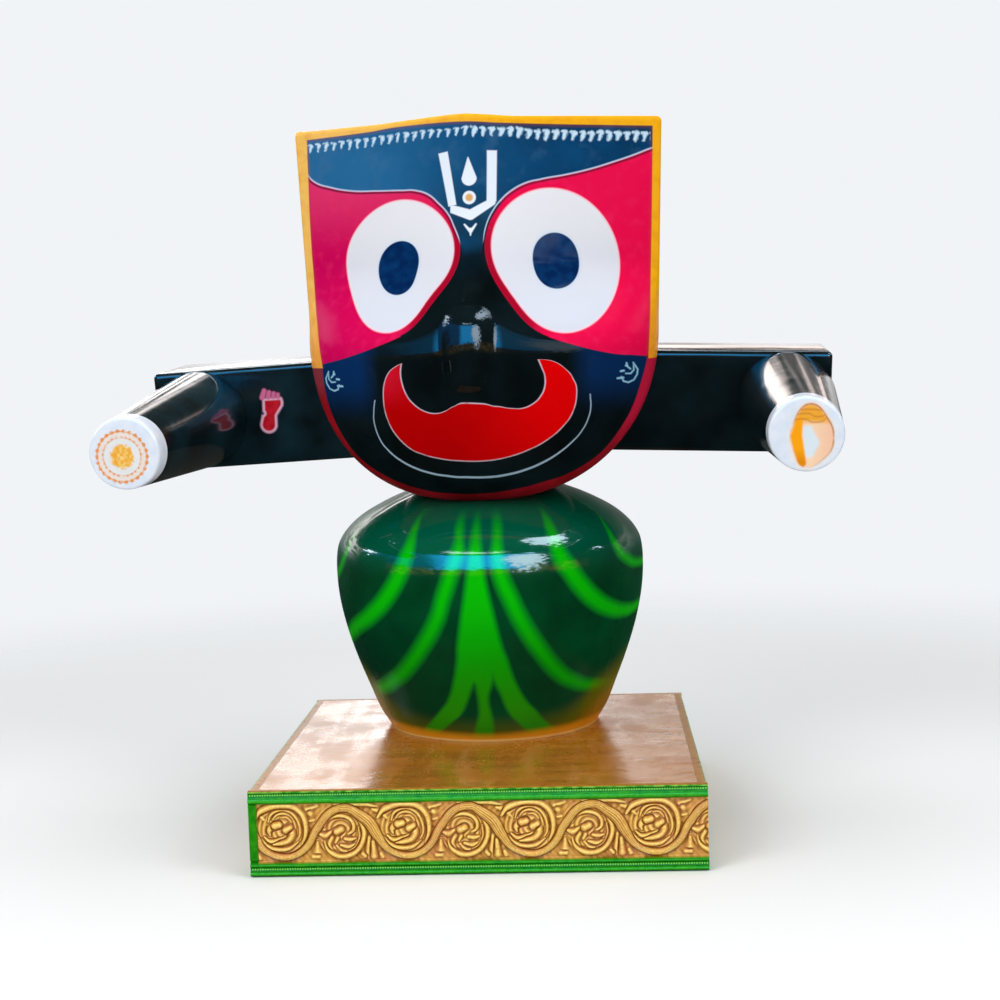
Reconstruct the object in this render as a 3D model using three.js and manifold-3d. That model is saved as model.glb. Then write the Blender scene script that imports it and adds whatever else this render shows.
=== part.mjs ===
// A painted jagannath figure on a square plinth, in millimetres, with Z up.
// The front faces -Y and the origin is the middle of the plinth's underside.
import * as THREE from 'three';
import Module from 'manifold-3d';
import { ParametricGeometry } from 'three/addons/geometries/ParametricGeometry.js';
import { mergeVertices } from 'three/addons/utils/BufferGeometryUtils.js';

// Fit between pieces that touch
const CLEARANCE = 0.3;

// Plinth and the moulded border strips on its four sides
const PLINTH_WIDTH = 600;
const PLINTH_DEPTH = 600;
const PLINTH_HEIGHT = 114.5;
const BORDER_DEPTH = 12;
const BORDER_PANEL_DEPTH = 6;
const BORDER_FOOT_GAP = 1.5;
const TOP_RAIL = 18;
const BOTTOM_RAIL = 21;
const END_RAIL = 12;
const RAIL_LIP = 5;
const RAIL_GROOVE = 3;
const LIP_SLOPE = 2;
const SCROLL_PITCH = 81;
const FIRST_SCROLL = 45;
const STEM_WIDTH = 12;

// Pot-shaped body
const BODY_HEIGHT = 375.5;
const BODY_RADIUS = 234;
const BODY_BACK_MARGIN = 16;
const BODY_ASIDE = 3;
const NECK_INSET = 55;

// Head: an apron-shaped face with a middle ridge, and a plain rounded back
const HEAD_HEIGHT = 542.6;
const HEAD_WIDTH = 528.8;
const JAW_WIDTH = 508;
const HEAD_BACK_DEPTH = 250;
const FACE_FORWARD = 115;
const MUZZLE_DEPTH = 150;
const TOP_RIDGE_DEPTH = 86;
const HEAD_ASIDE = 12.5;
const HEAD_TURN = 2.8;
const HEAD_NOD = 1;

// Arms: a square beam out to each side, and a round forearm pointing forward
const BEAM_HEIGHT = 147;
const BEAM_DEPTH = 167;
const BEAM_RISE = 121;
const BEAM_FORWARD = 80;
const BEAM_CORNER = 7;
const ARM_REACH = 436;
const ARM_ROOT = 110;
const ELBOW_SHOW = 8;
const CONCH_ARM_DROOP = 2.1;
const WHEEL_ARM_DROOP = 2.5;
const ARM_NOD = 3.5;
const FOREARM_LENGTH = 366;
const WRIST_RADIUS = 47;

const wasm = await Module();
wasm.setup();

// Turns a closed three.js geometry into a solid that can be joined and cut
function solidOf(geometry) {
  const plain = geometry.clone();
  plain.deleteAttribute('normal');
  plain.deleteAttribute('uv');
  const merged = mergeVertices(plain, 1e-3);
  const corners = merged.index.array;
  const triangles = [];
  for (let i = 0; i < corners.length; i += 3) {
    const [a, b, c] = [corners[i], corners[i + 1], corners[i + 2]];
    if (a !== b && b !== c && c !== a) {
      triangles.push(a, b, c);
    }
  }
  return new wasm.Manifold(new wasm.Mesh({
    numProp: 3,
    vertProperties: Float32Array.from(merged.attributes.position.array),
    triVerts: Uint32Array.from(triangles),
  }));
}

// Turns a solid back into a three.js geometry
function geometryOf(solid) {
  const mesh = solid.getMesh();
  const geometry = new THREE.BufferGeometry();
  geometry.setAttribute('position', new THREE.BufferAttribute(Float32Array.from(mesh.vertProperties), 3));
  geometry.setIndex([...mesh.triVerts]);
  geometry.computeVertexNormals();
  return geometry;
}

function joined(solids) {
  return solids.reduce((whole, solid) => whole.add(solid));
}

function namedMesh(name, solid, material) {
  const mesh = new THREE.Mesh(geometryOf(solid), material);
  mesh.name = name;
  return mesh;
}

function paint(color, roughness, metalness = 0) {
  return new THREE.MeshStandardMaterial({ color, roughness, metalness });
}

// Turns an extrusion so that its section lies across X: the section's x becomes Y, and its y becomes Z
const EXTRUDE_ALONG_X = new THREE.Matrix4().makeBasis(
  new THREE.Vector3(0, 1, 0),
  new THREE.Vector3(0, 0, 1),
  new THREE.Vector3(1, 0, 0),
);

// A closed skin over rings: point(row, turn) gives each place, and the first and last rows are poles
function ringSkin(rowCount, columnCount, point) {
  const skin = (turn, rise, target) => {
    target.copy(point(Math.round(rise * (rowCount - 1)), turn % 1));
  };
  return new ParametricGeometry(skin, columnCount, rowCount - 1);
}

// The head stands in its own frame: X across, Y back, Z up from the top of the body.
// The face's outline lies in one upright plane, and chin, jaw and back follow superellipses.
const JAW_ACROSS = 2.3;
const JAW_DOWN = 2.22;
const CHIN_LEAN = 1.93;
const BACK_ACROSS = 2.6;
const BACK_DOWN = 3.5;
const MUZZLE_ROUNDNESS = 2.2;
const BROW_CURVE = 2.1;
const BROW_CURVE_SHARE = 0.8;
const CHIN_DROP = 0.047 * HEAD_HEIGHT;
const JAW_RISE = 0.424 * HEAD_HEIGHT;
const CREST_RISE = 0.3904 * HEAD_HEIGHT;
const CHIN_ASIDE = 0.023 * HEAD_WIDTH;
const HEAD_TOP = HEAD_HEIGHT - CHIN_DROP;

// How far a height lies down the jaw: 0 where the sides end and 1 at the chin
function downTheJaw(rise) {
  return THREE.MathUtils.clamp((JAW_RISE - rise) / (JAW_RISE + CHIN_DROP), 0, 1);
}

function faceHalfWidth(rise) {
  const down = downTheJaw(rise);
  if (down > 0) {
    return JAW_WIDTH / 2 * Math.max(1 - down ** JAW_DOWN, 0) ** (1 / JAW_ACROSS);
  }
  const up = (rise - JAW_RISE) / (HEAD_TOP - JAW_RISE);
  return THREE.MathUtils.lerp(JAW_WIDTH, HEAD_WIDTH, up) / 2;
}

// The jaw leans a little to one side on its way down to the chin
function faceMiddle(rise) {
  return -CHIN_ASIDE * downTheJaw(rise) ** CHIN_LEAN;
}

// The middle ridge leans out from the brow to the lip, and the muzzle falls back to the chin
function ridgeDepth(rise) {
  if (rise < CREST_RISE) {
    const fall = (CREST_RISE - rise) / (CREST_RISE + CHIN_DROP);
    return MUZZLE_DEPTH * Math.sqrt(Math.max(1 - fall ** MUZZLE_ROUNDNESS, 0));
  }
  const below = (HEAD_TOP - rise) / (HEAD_TOP - CREST_RISE);
  const lean = THREE.MathUtils.lerp(below, below ** BROW_CURVE, BROW_CURVE_SHARE);
  return THREE.MathUtils.lerp(TOP_RIDGE_DEPTH, MUZZLE_DEPTH, lean);
}

// Across the face: a rounded roof above, and a full bowl around the mouth
function acrossFace(share, rise) {
  const softness = 0.12;
  const roof = 1 + softness - Math.hypot(softness, Math.sqrt(1 + 2 * softness) * share);
  const bowl = Math.sqrt(Math.max(1 - Math.abs(share) ** MUZZLE_ROUNDNESS, 0));
  const roofShare = THREE.MathUtils.smoothstep(rise, 0.3517 * HEAD_HEIGHT, 0.592 * HEAD_HEIGHT);
  return THREE.MathUtils.lerp(bowl, roof, roofShare);
}

function noseDepth(across, rise) {
  const wide = across / (0.12 * HEAD_WIDTH);
  const high = (rise - 0.453 * HEAD_HEIGHT) / (0.0666 * HEAD_HEIGHT);
  return 0.03 * HEAD_HEIGHT * Math.exp(-wide * wide - high * high);
}

function facePoint(share, rise) {
  const across = faceMiddle(rise) + share * faceHalfWidth(rise);
  const nose = Math.abs(share) < 1 ? noseDepth(across, rise) : 0;
  const depth = ridgeDepth(rise) * acrossFace(share, rise) + nose;
  return new THREE.Vector3(across, -FACE_FORWARD - depth, rise);
}

// The back is a half superellipse in plan that closes in towards the chin
function backPoint(angle, rise) {
  const depth = HEAD_BACK_DEPTH * Math.max(1 - downTheJaw(rise) ** BACK_DOWN, 0) ** (1 / BACK_DOWN);
  const across = Math.sign(Math.cos(angle)) * Math.abs(Math.cos(angle)) ** (2 / BACK_ACROSS);
  const back = Math.sin(angle) ** (2 / BACK_ACROSS);
  return new THREE.Vector3(
    faceMiddle(rise) + across * faceHalfWidth(rise),
    -FACE_FORWARD + depth * back,
    rise,
  );
}

function headSolid() {
  const jawRows = 9;
  const sideRows = 11;
  const faceColumns = 26;
  const backColumns = 18;
  const rises = [];
  for (let row = 0; row <= jawRows; row += 1) {
    rises.push(JAW_RISE - (JAW_RISE + CHIN_DROP) * Math.cos(row / jawRows * Math.PI / 2));
  }
  for (let row = 1; row <= sideRows; row += 1) {
    rises.push(THREE.MathUtils.lerp(JAW_RISE, HEAD_TOP, row / sideRows));
  }
  const crown = new THREE.Vector3(0, -FACE_FORWARD, HEAD_TOP);
  const frontShare = faceColumns / (faceColumns + backColumns);
  const skin = ringSkin(rises.length + 1, faceColumns + backColumns, (row, turn) => {
    if (row === rises.length) {
      return crown;
    }
    if (turn < frontShare) {
      return facePoint(2 * turn / frontShare - 1, rises[row]);
    }
    return backPoint((turn - frontShare) / (1 - frontShare) * Math.PI, rises[row]);
  });
  return solidOf(skin);
}

// The body's outline, as shares of its height and of its widest radius
const BODY_OUTLINE = [
  [0, 0.675], [0.065, 0.74], [0.172, 0.812], [0.297, 0.889], [0.42, 0.95], [0.547, 0.99], [0.64, 1],
  [0.7, 0.997], [0.747, 0.983], [0.787, 0.949], [0.827, 0.893], [0.867, 0.812], [0.899, 0.722],
  [0.925, 0.637], [0.947, 0.551], [0.968, 0.46], [0.981, 0.406], [1, 0.367],
];
const BODY_BASE_RADIUS = BODY_OUTLINE[0][1] * BODY_RADIUS;
const BODY_BACK = PLINTH_DEPTH / 2 - BODY_BACK_MARGIN - BODY_BASE_RADIUS;
const BODY_TOP = PLINTH_HEIGHT + BODY_HEIGHT;

// The body's neck runs up into the head, so that the two are one casting
function bodySolid() {
  const foot = PLINTH_HEIGHT + CLEARANCE;
  const neckRadius = BODY_OUTLINE[BODY_OUTLINE.length - 1][1] * BODY_RADIUS;
  const profile = [new THREE.Vector2(0, foot)];
  for (const [rise, radius] of BODY_OUTLINE) {
    profile.push(new THREE.Vector2(radius * BODY_RADIUS, foot + rise * (BODY_HEIGHT - CLEARANCE)));
  }
  profile.push(new THREE.Vector2(neckRadius, BODY_TOP + NECK_INSET));
  profile.push(new THREE.Vector2(0, BODY_TOP + NECK_INSET));
  const lathe = new THREE.LatheGeometry(profile, 36);
  lathe.rotateX(Math.PI / 2);
  lathe.translate(BODY_ASIDE, BODY_BACK, 0);
  return solidOf(lathe);
}

// A bar along X with rounded long edges, between two distances from the head's middle.
// Its front face lies at Y = 0, and growth makes it thicker all round.
function beam(from, to, growth) {
  const up = BEAM_HEIGHT / 2 + growth;
  const front = -growth;
  const back = BEAM_DEPTH + growth;
  const corner = BEAM_CORNER + growth;
  const section = new THREE.Shape();
  section.absarc(back - corner, up - corner, corner, 0, Math.PI / 2);
  section.absarc(front + corner, up - corner, corner, Math.PI / 2, Math.PI);
  section.absarc(front + corner, corner - up, corner, Math.PI, Math.PI * 1.5);
  section.absarc(back - corner, corner - up, corner, Math.PI * 1.5, Math.PI * 2);
  const bar = new THREE.ExtrudeGeometry(section, { depth: to - from, bevelEnabled: false, curveSegments: 3 });
  bar.applyMatrix4(EXTRUDE_ALONG_X);
  bar.translate(from, 0, 0);
  return solidOf(bar);
}

// One arm on the +X side: a beam, and a forearm as thick as the beam at its root, where its
// round elbow shows a little past the beam's end
function armSolid() {
  const overlap = 4;
  const rootRadius = BEAM_HEIGHT / 2 - 1;
  const forearm = new THREE.CylinderGeometry(rootRadius, WRIST_RADIUS, FOREARM_LENGTH + overlap, 32);
  forearm.translate(ARM_REACH, (overlap - FOREARM_LENGTH) / 2, 0);
  return beam(ARM_ROOT, ARM_REACH + rootRadius - ELBOW_SHOW, 0).add(solidOf(forearm));
}

function mirrored(solid) {
  return solid.mirror([1, 0, 0]);
}

// Each arm hangs a little down and forward from the line across the head
function armFrame(droop) {
  const frame = new THREE.Group();
  frame.position.set(0, -BEAM_FORWARD, BEAM_RISE);
  frame.rotation.set(
    THREE.MathUtils.degToRad(ARM_NOD),
    THREE.MathUtils.degToRad(droop),
    0,
    'YXZ',
  );
  frame.updateMatrix();
  return frame;
}

const headFrame = new THREE.Group();
headFrame.position.set(BODY_ASIDE + HEAD_ASIDE, BODY_BACK, BODY_TOP);
headFrame.rotation.set(
  THREE.MathUtils.degToRad(HEAD_NOD),
  0,
  -THREE.MathUtils.degToRad(HEAD_TURN),
  'ZXY',
);
headFrame.updateMatrix();

// The root of each beam sits in a pocket of the head, with the clearance all round
function headAndBody() {
  const pocket = beam(ARM_ROOT - CLEARANCE, HEAD_WIDTH, CLEARANCE);
  const head = headSolid()
    .subtract(pocket.transform(armFrame(CONCH_ARM_DROOP).matrix.elements))
    .subtract(mirrored(pocket).transform(armFrame(-WHEEL_ARM_DROOP).matrix.elements));
  return head.transform(headFrame.matrix.elements).add(bodySolid());
}

// Border strips stand in their own frame: X along the strip, -Y outwards, Z up
const STRIP_HEIGHT = PLINTH_HEIGHT - BORDER_FOOT_GAP;
const PANEL_LOW = BOTTOM_RAIL;
const PANEL_HIGH = STRIP_HEIGHT - TOP_RAIL;
const PANEL_MIDDLE = (PANEL_LOW + PANEL_HIGH) / 2;
const PANEL_HEIGHT = PANEL_HIGH - PANEL_LOW;
const RELIEF = BORDER_DEPTH - BORDER_PANEL_DEPTH;

// A carved leaf or stem with a roof-shaped section, swept along a route on the panel.
// route(share) gives its place, and fullness(share) how wide and high it stands there.
function carvedBand(route, fullness, width, height, steps) {
  const sunk = 1;
  const tangent = (share) => {
    const ahead = route(Math.min(share + 1e-3, 1));
    return ahead.sub(route(Math.max(share - 1e-3, 0))).normalize();
  };
  const skin = ringSkin(steps + 1, 3, (row, turn) => {
    const share = row / steps;
    const place = route(share);
    const along = tangent(share);
    const full = fullness(share);
    const corner = Math.round(turn * 3) % 3;
    const reach = [1, 0, -1][corner] * width / 2 * full;
    const out = corner === 1 ? BORDER_PANEL_DEPTH + height * full : BORDER_PANEL_DEPTH - sunk;
    const closed = row === 0 || row === steps;
    return new THREE.Vector3(
      place.x - along.y * reach,
      closed ? sunk - BORDER_PANEL_DEPTH : -out,
      place.y + along.x * reach,
    );
  });
  return solidOf(skin);
}

// A route round a centre, between two angles and two radii
function curl(centre, radii, degrees) {
  return (share) => {
    const angle = THREE.MathUtils.degToRad(THREE.MathUtils.lerp(degrees[0], degrees[1], share));
    const radius = THREE.MathUtils.lerp(radii[0], radii[1], share);
    return new THREE.Vector2(centre.x + radius * Math.cos(angle), centre.y + radius * Math.sin(angle));
  };
}

function straight(from, to) {
  return (share) => from.clone().lerp(to, share);
}

// The carving's proportions, as shares of the panel's height and of the relief's
const LEAF_WIDTH = 0.16 * PANEL_HEIGHT;
const PETAL_WIDTH = 0.12 * PANEL_HEIGHT;
const HIGH_RELIEF = 0.95 * RELIEF;
const LOW_RELIEF = 0.78 * RELIEF;
const STEM_STEPS_PER_WAVE = 9;

const leafFullness = (share) => Math.sin(Math.PI * share) ** 0.7;
const stemFullness = (share) => (share > 0 && share < 1 ? 1 : 0);

// The wave of stem that dips under each odd scroll and climbs over each even one
function stemSolid(length) {
  const swing = (PANEL_HEIGHT - STEM_WIDTH) / 2;
  const waves = length / (2 * SCROLL_PITCH);
  const route = (share) => {
    const x = share * length;
    const phase = Math.PI * (x - FIRST_SCROLL) / SCROLL_PITCH;
    return new THREE.Vector2(x, PANEL_MIDDLE - swing * Math.cos(phase));
  };
  return carvedBand(route, stemFullness, STEM_WIDTH, LOW_RELIEF, Math.round(waves * STEM_STEPS_PER_WAVE));
}

// One scroll: an outer curled leaf, an inner one, and a bud at the middle
function scrollSolids(x, dips) {
  const side = dips ? 1 : -1;
  const centre = new THREE.Vector2(x, PANEL_MIDDLE + side * 0.04 * PANEL_HEIGHT);
  const turned = (angles) => angles.map((angle) => side * angle);
  const outer = curl(centre, [0.43 * PANEL_HEIGHT, 0.36 * PANEL_HEIGHT], turned([-70, 200]));
  const inner = curl(centre, [0.19 * PANEL_HEIGHT, 0.2 * PANEL_HEIGHT], turned([20, 250]));
  const budReach = new THREE.Vector2(0.095, -0.014).multiplyScalar(PANEL_HEIGHT);
  const bud = straight(centre.clone().sub(budReach), centre.clone().add(budReach));
  return [
    carvedBand(outer, leafFullness, LEAF_WIDTH, HIGH_RELIEF, 7),
    carvedBand(inner, leafFullness, PETAL_WIDTH, LOW_RELIEF, 5),
    carvedBand(bud, leafFullness, PETAL_WIDTH, HIGH_RELIEF, 2),
  ];
}

// Small leaves fill the corners between a scroll and the stem
function spandrelLeaves(x, dips) {
  const side = dips ? 1 : -1;
  const root = new THREE.Vector2(x + SCROLL_PITCH / 2, PANEL_MIDDLE + side * 0.18 * PANEL_HEIGHT);
  const reach = 0.25 * PANEL_HEIGHT;
  return [-28, 28].map((angle) => {
    const lean = THREE.MathUtils.degToRad(angle);
    const tip = root.clone().add(new THREE.Vector2(reach * Math.sin(lean), side * reach * Math.cos(lean)));
    return carvedBand(straight(root, tip), leafFullness, PETAL_WIDTH, LOW_RELIEF, 3);
  });
}

// Each rail of a strip is a groove between two lips, and the carved panel lies between the rails
function stripProfile() {
  const groove = BORDER_DEPTH - RAIL_GROOVE;
  const outline = [
    [0, 0],
    [BORDER_DEPTH, 0],
    [BORDER_DEPTH, RAIL_LIP],
    [groove, RAIL_LIP + LIP_SLOPE],
    [groove, PANEL_LOW - RAIL_LIP],
    [BORDER_DEPTH, PANEL_LOW - RAIL_LIP + LIP_SLOPE],
    [BORDER_PANEL_DEPTH, PANEL_LOW],
    [BORDER_PANEL_DEPTH, PANEL_HIGH],
    [BORDER_DEPTH, PANEL_HIGH + RAIL_LIP - LIP_SLOPE],
    [groove, PANEL_HIGH + RAIL_LIP],
    [groove, STRIP_HEIGHT - RAIL_LIP - LIP_SLOPE],
    [BORDER_DEPTH, STRIP_HEIGHT - RAIL_LIP],
    [BORDER_DEPTH, STRIP_HEIGHT],
    [0, STRIP_HEIGHT],
  ];
  return new THREE.Shape(outline.map(([out, rise]) => new THREE.Vector2(-out, rise)));
}

function boxSolid(low, high) {
  const size = high.clone().sub(low);
  const box = new THREE.BoxGeometry(size.x, size.y, size.z);
  const middle = low.clone().add(high).multiplyScalar(0.5);
  box.translate(middle.x, middle.y, middle.z);
  return solidOf(box);
}

// A strip with its carving, which the panel cuts off at the rails, and a plain rail at its left end
function borderSolid(length) {
  const bar = new THREE.ExtrudeGeometry(stripProfile(), { depth: length, bevelEnabled: false });
  bar.applyMatrix4(EXTRUDE_ALONG_X);
  const relief = [stemSolid(length)];
  for (let step = 0; FIRST_SCROLL + step * SCROLL_PITCH < length + SCROLL_PITCH / 2; step += 1) {
    const x = FIRST_SCROLL + step * SCROLL_PITCH;
    relief.push(...scrollSolids(x, step % 2 === 0));
    relief.push(...spandrelLeaves(x, step % 2 === 0));
  }
  const panel = boxSolid(
    new THREE.Vector3(0, -BORDER_DEPTH, PANEL_LOW),
    new THREE.Vector3(length, 0, PANEL_HIGH),
  );
  const endRailStep = 1;
  const endRail = boxSolid(
    new THREE.Vector3(0, -BORDER_DEPTH + endRailStep, PANEL_LOW - endRailStep),
    new THREE.Vector3(END_RAIL, -endRailStep, PANEL_HIGH + endRailStep),
  );
  return solidOf(bar).add(joined(relief).intersect(panel)).add(endRail);
}

const gold = paint(0xb5853f, 0.45, 0.1);
const borderGold = paint(0xc8963e, 0.5, 0.1);
const glossBlack = paint(0x0b0d10, 0.12);
const glossGreen = paint(0x0a4a2a, 0.12);

function plinthMesh() {
  const inset = 2 * (BORDER_DEPTH + CLEARANCE);
  const block = new THREE.BoxGeometry(PLINTH_WIDTH - inset, PLINTH_DEPTH - inset, PLINTH_HEIGHT);
  block.translate(0, 0, PLINTH_HEIGHT / 2);
  return namedMesh('plinth', solidOf(block), gold);
}

// The front and back strips run the whole width, and the side strips fit between them
function borderMeshes() {
  const sideLength = PLINTH_DEPTH - 2 * (BORDER_DEPTH + CLEARANCE);
  const long = borderSolid(PLINTH_WIDTH);
  const short = borderSolid(sideLength);
  const places = [
    ['front_border', long, 0, -PLINTH_WIDTH / 2, -PLINTH_DEPTH / 2 + BORDER_DEPTH],
    ['right_border', short, 90, PLINTH_WIDTH / 2 - BORDER_DEPTH, -sideLength / 2],
    ['back_border', long, 180, PLINTH_WIDTH / 2, PLINTH_DEPTH / 2 - BORDER_DEPTH],
    ['left_border', short, 270, -PLINTH_WIDTH / 2 + BORDER_DEPTH, sideLength / 2],
  ];
  return places.map(([name, solid, degrees, x, y]) => {
    const mesh = namedMesh(name, solid, borderGold);
    mesh.rotation.z = THREE.MathUtils.degToRad(degrees);
    mesh.position.set(x, y, BORDER_FOOT_GAP);
    return mesh;
  });
}

function armMeshes() {
  const arm = armSolid();
  const arms = [['conch_arm', CONCH_ARM_DROOP, arm], ['wheel_arm', -WHEEL_ARM_DROOP, mirrored(arm)]];
  return arms.map(([name, droop, solid]) => {
    const frame = armFrame(droop);
    frame.add(namedMesh(name, solid, glossBlack));
    return frame;
  });
}

headFrame.add(...armMeshes());

const figure = new THREE.Group();
figure.add(plinthMesh(), ...borderMeshes(), namedMesh('head_and_body', headAndBody(), glossGreen), headFrame);

export default figure;
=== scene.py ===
"""A painted jagannath figure on a square plinth: glossy enamel over fibreglass, with gold scroll borders."""
import math

import bpy
import numpy as np
from mathutils import Euler, Matrix, Vector


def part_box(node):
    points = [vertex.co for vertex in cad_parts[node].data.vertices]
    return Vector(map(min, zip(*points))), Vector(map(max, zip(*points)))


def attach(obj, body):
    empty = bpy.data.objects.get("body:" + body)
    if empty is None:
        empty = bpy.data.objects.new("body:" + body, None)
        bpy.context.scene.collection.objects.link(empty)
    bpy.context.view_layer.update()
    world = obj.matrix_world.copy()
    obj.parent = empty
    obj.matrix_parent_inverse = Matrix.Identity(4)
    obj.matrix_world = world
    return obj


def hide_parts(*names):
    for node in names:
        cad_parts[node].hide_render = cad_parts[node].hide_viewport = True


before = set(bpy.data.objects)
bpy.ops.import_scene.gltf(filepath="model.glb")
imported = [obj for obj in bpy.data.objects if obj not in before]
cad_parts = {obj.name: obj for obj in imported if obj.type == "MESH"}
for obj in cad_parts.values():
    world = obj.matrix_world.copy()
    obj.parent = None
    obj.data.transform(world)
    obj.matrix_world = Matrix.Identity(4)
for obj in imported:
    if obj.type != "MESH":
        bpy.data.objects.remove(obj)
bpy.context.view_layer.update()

# Sizes in millimetres: the solids' own, less 0.1 to 0.2 where a smooth arm would stand past their facets.
MM = 0.001
PLINTH_WIDTH, PLINTH_DEPTH, PLINTH_HEIGHT = 600.0, 600.0, 114.5
BODY_HEIGHT, BODY_RADIUS, BODY_AXIS = 375.5, 234.0, (3.0, 126.05)
NECK_INSET = 55.0
BODY_OUTLINE = [
    (0, 0.675), (0.065, 0.74), (0.172, 0.812), (0.297, 0.889), (0.42, 0.95), (0.547, 0.99), (0.64, 1),
    (0.7, 0.997), (0.747, 0.983), (0.787, 0.949), (0.827, 0.893), (0.867, 0.812), (0.899, 0.722),
    (0.925, 0.637), (0.947, 0.551), (0.968, 0.46), (0.981, 0.406), (1, 0.367),
]
HEAD_HEIGHT, HEAD_WIDTH, JAW_WIDTH = 542.6, 528.8, 508.0
HEAD_BACK_DEPTH, FACE_FORWARD = 250.0, 115.0
MUZZLE_DEPTH, TOP_RIDGE_DEPTH = 150.0, 86.0
HEAD_PLACE, HEAD_TURN, HEAD_NOD = (15.5, 126.05, 490.0), -2.8, 1.0
CHIN_DROP, JAW_RISE, CREST_RISE = 0.047 * HEAD_HEIGHT, 0.424 * HEAD_HEIGHT, 0.3904 * HEAD_HEIGHT
CHIN_ASIDE = 0.023 * HEAD_WIDTH
HEAD_TOP = HEAD_HEIGHT - CHIN_DROP
BEAM_HEIGHT, BEAM_DEPTH, BEAM_CORNER = 147.0, 167.0, 7.0
BEAM_INNER_END, BEAM_OUTER_END, POCKET_OUTER_END = 110.0, 500.3, 520.0
ARM_PLACE, ARM_NOD = (0.0, -80.0, 121.0), 3.5
CONCH_ARM_DROOP, WHEEL_ARM_DROOP = 2.1, -2.5
ARM_REACH, ROOT_RADIUS, WRIST_RADIUS, FOREARM_LENGTH, END_ROUND = 436.0, 72.4, 46.9, 366.0, 3.0
CLEARANCE = 0.3
BORDER_DEPTH, BORDER_HEIGHT, BORDER_FOOT_GAP = 12.0, 113.0, 1.5
TOP_RAIL, BOTTOM_RAIL, END_RAIL, PANEL_DEPTH = 18.0, 21.0, 12.0, 6.0


# Frames: each turns millimetres in its own axes into millimetres of the whole.

def head_frame():
    """The head's axes: u across the face, b to the back, v up its height."""
    turn = Euler((math.radians(HEAD_NOD), 0, math.radians(HEAD_TURN)), "XYZ")
    return Matrix.LocRotScale(Vector(HEAD_PLACE), turn, None)


def arm_frame(droop):
    """An arm's axes: x along the beam, y to the back, z up, with its droop and nod in the head's axes."""
    turn = Matrix.Rotation(math.radians(droop), 3, "Y") @ Matrix.Rotation(math.radians(ARM_NOD), 3, "X")
    return head_frame() @ Matrix.LocRotScale(Vector(ARM_PLACE), turn.to_quaternion(), None)


def body_frame():
    """The body's axes: its own axis upright, from the top of the plinth."""
    return Matrix.Translation((*BODY_AXIS, PLINTH_HEIGHT))


def place(points, matrix):
    """Carries an array of points by a matrix."""
    m = np.array(matrix)
    return points @ m[:3, :3].T + m[:3, 3]


# Meshes from whole arrays of points.

def lerp(a, b, t):
    return a + (b - a) * t


def smoothstep(x, low, high):
    t = np.clip((x - low) / (high - low), 0, 1)
    return t * t * (3 - 2 * t)


def smooth_through(knots, count):
    """A curve of count points through the knots: cubic pieces whose slopes come from the neighbours."""
    knots = np.asarray(knots, float)
    steps = np.linalg.norm(np.diff(knots, axis=0), axis=1)
    along = np.concatenate([[0], np.cumsum(steps)])
    slopes = np.gradient(knots, along, axis=0)
    t = np.linspace(0, along[-1], count)
    i = np.clip(np.searchsorted(along, t, "right") - 1, 0, len(knots) - 2)
    h = (along[i + 1] - along[i])[:, None]
    s = ((t - along[i])[:, None]) / h
    start = knots[i] * (2 * s**3 - 3 * s**2 + 1) + slopes[i] * h * (s**3 - 2 * s**2 + s)
    return start + knots[i + 1] * (3 * s**2 - 2 * s**3) + slopes[i + 1] * h * (s**3 - s**2)


def new_object(name, points, faces, mirrored=False):
    """A mesh object, from points in millimetres and faces of three or four corners."""
    mesh = bpy.data.meshes.new(name)
    if mirrored:
        faces = [face[::-1] for face in faces]
    mesh.from_pydata((np.asarray(points) * MM).tolist(), [], faces)
    mesh.validate()
    mesh.update()
    made = bpy.data.objects.new(name, mesh)
    bpy.context.scene.collection.objects.link(made)
    return made


def skin(rings):
    """Faces over a stack of closed rings, with a pole at the middle of the first ring and of the last."""
    count, around = rings.shape[:2]
    points = np.concatenate([rings.reshape(-1, 3), [rings[0].mean(0)], [rings[-1].mean(0)]])
    i, j = np.meshgrid(np.arange(count - 1), np.arange(around), indexing="ij")
    k = (j + 1) % around
    quads = np.stack([i * around + j, i * around + k, (i + 1) * around + k, (i + 1) * around + j], -1)
    j = np.arange(around)
    k = (j + 1) % around
    low, high, last = count * around, count * around + 1, (count - 1) * around
    foot = np.stack([np.full(around, low), k, j], -1)
    top = np.stack([np.full(around, high), last + j, last + k], -1)
    return points, quads.reshape(-1, 4).tolist() + foot.tolist() + top.tolist()


def boolean(target, operation, others):
    """Joins or cuts the target by other closed objects, which are used up."""
    for other in others:
        step = target.modifiers.new(operation, "BOOLEAN")
        step.operation = operation
        step.solver = "MANIFOLD"
        step.object = other
    graph = bpy.context.evaluated_depsgraph_get()
    made = bpy.data.meshes.new_from_object(target.evaluated_get(graph))
    target.modifiers.clear()
    old, target.data = target.data, made
    bpy.data.meshes.remove(old)
    for other in others:
        bpy.data.objects.remove(other)


def finish_shading(piece, crease_degrees=35):
    """Smooth faces, with a crease only where the surface turns sharply."""
    piece.data.shade_smooth()
    piece.data.set_sharp_from_angle(angle=math.radians(crease_degrees))


# The head: an apron-shaped face in front of a rounded back, one closed ring for each level.

RIM_ROUND = 7.0
CHIN_RINGS, SIDE_RINGS, FACE_COLUMNS, BACK_COLUMNS = 64, 108, 181, 121


def jaw_share(v):
    """How far down from the widest level of the jaw (0) to the chin (1) a level is."""
    return np.clip((JAW_RISE - v) / (JAW_RISE + CHIN_DROP), 0, 1)


def middle_of(v):
    """Where the middle of a level is: the jaw swings to the viewer's left towards the chin."""
    return -CHIN_ASIDE * jaw_share(v) ** 1.93


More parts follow.
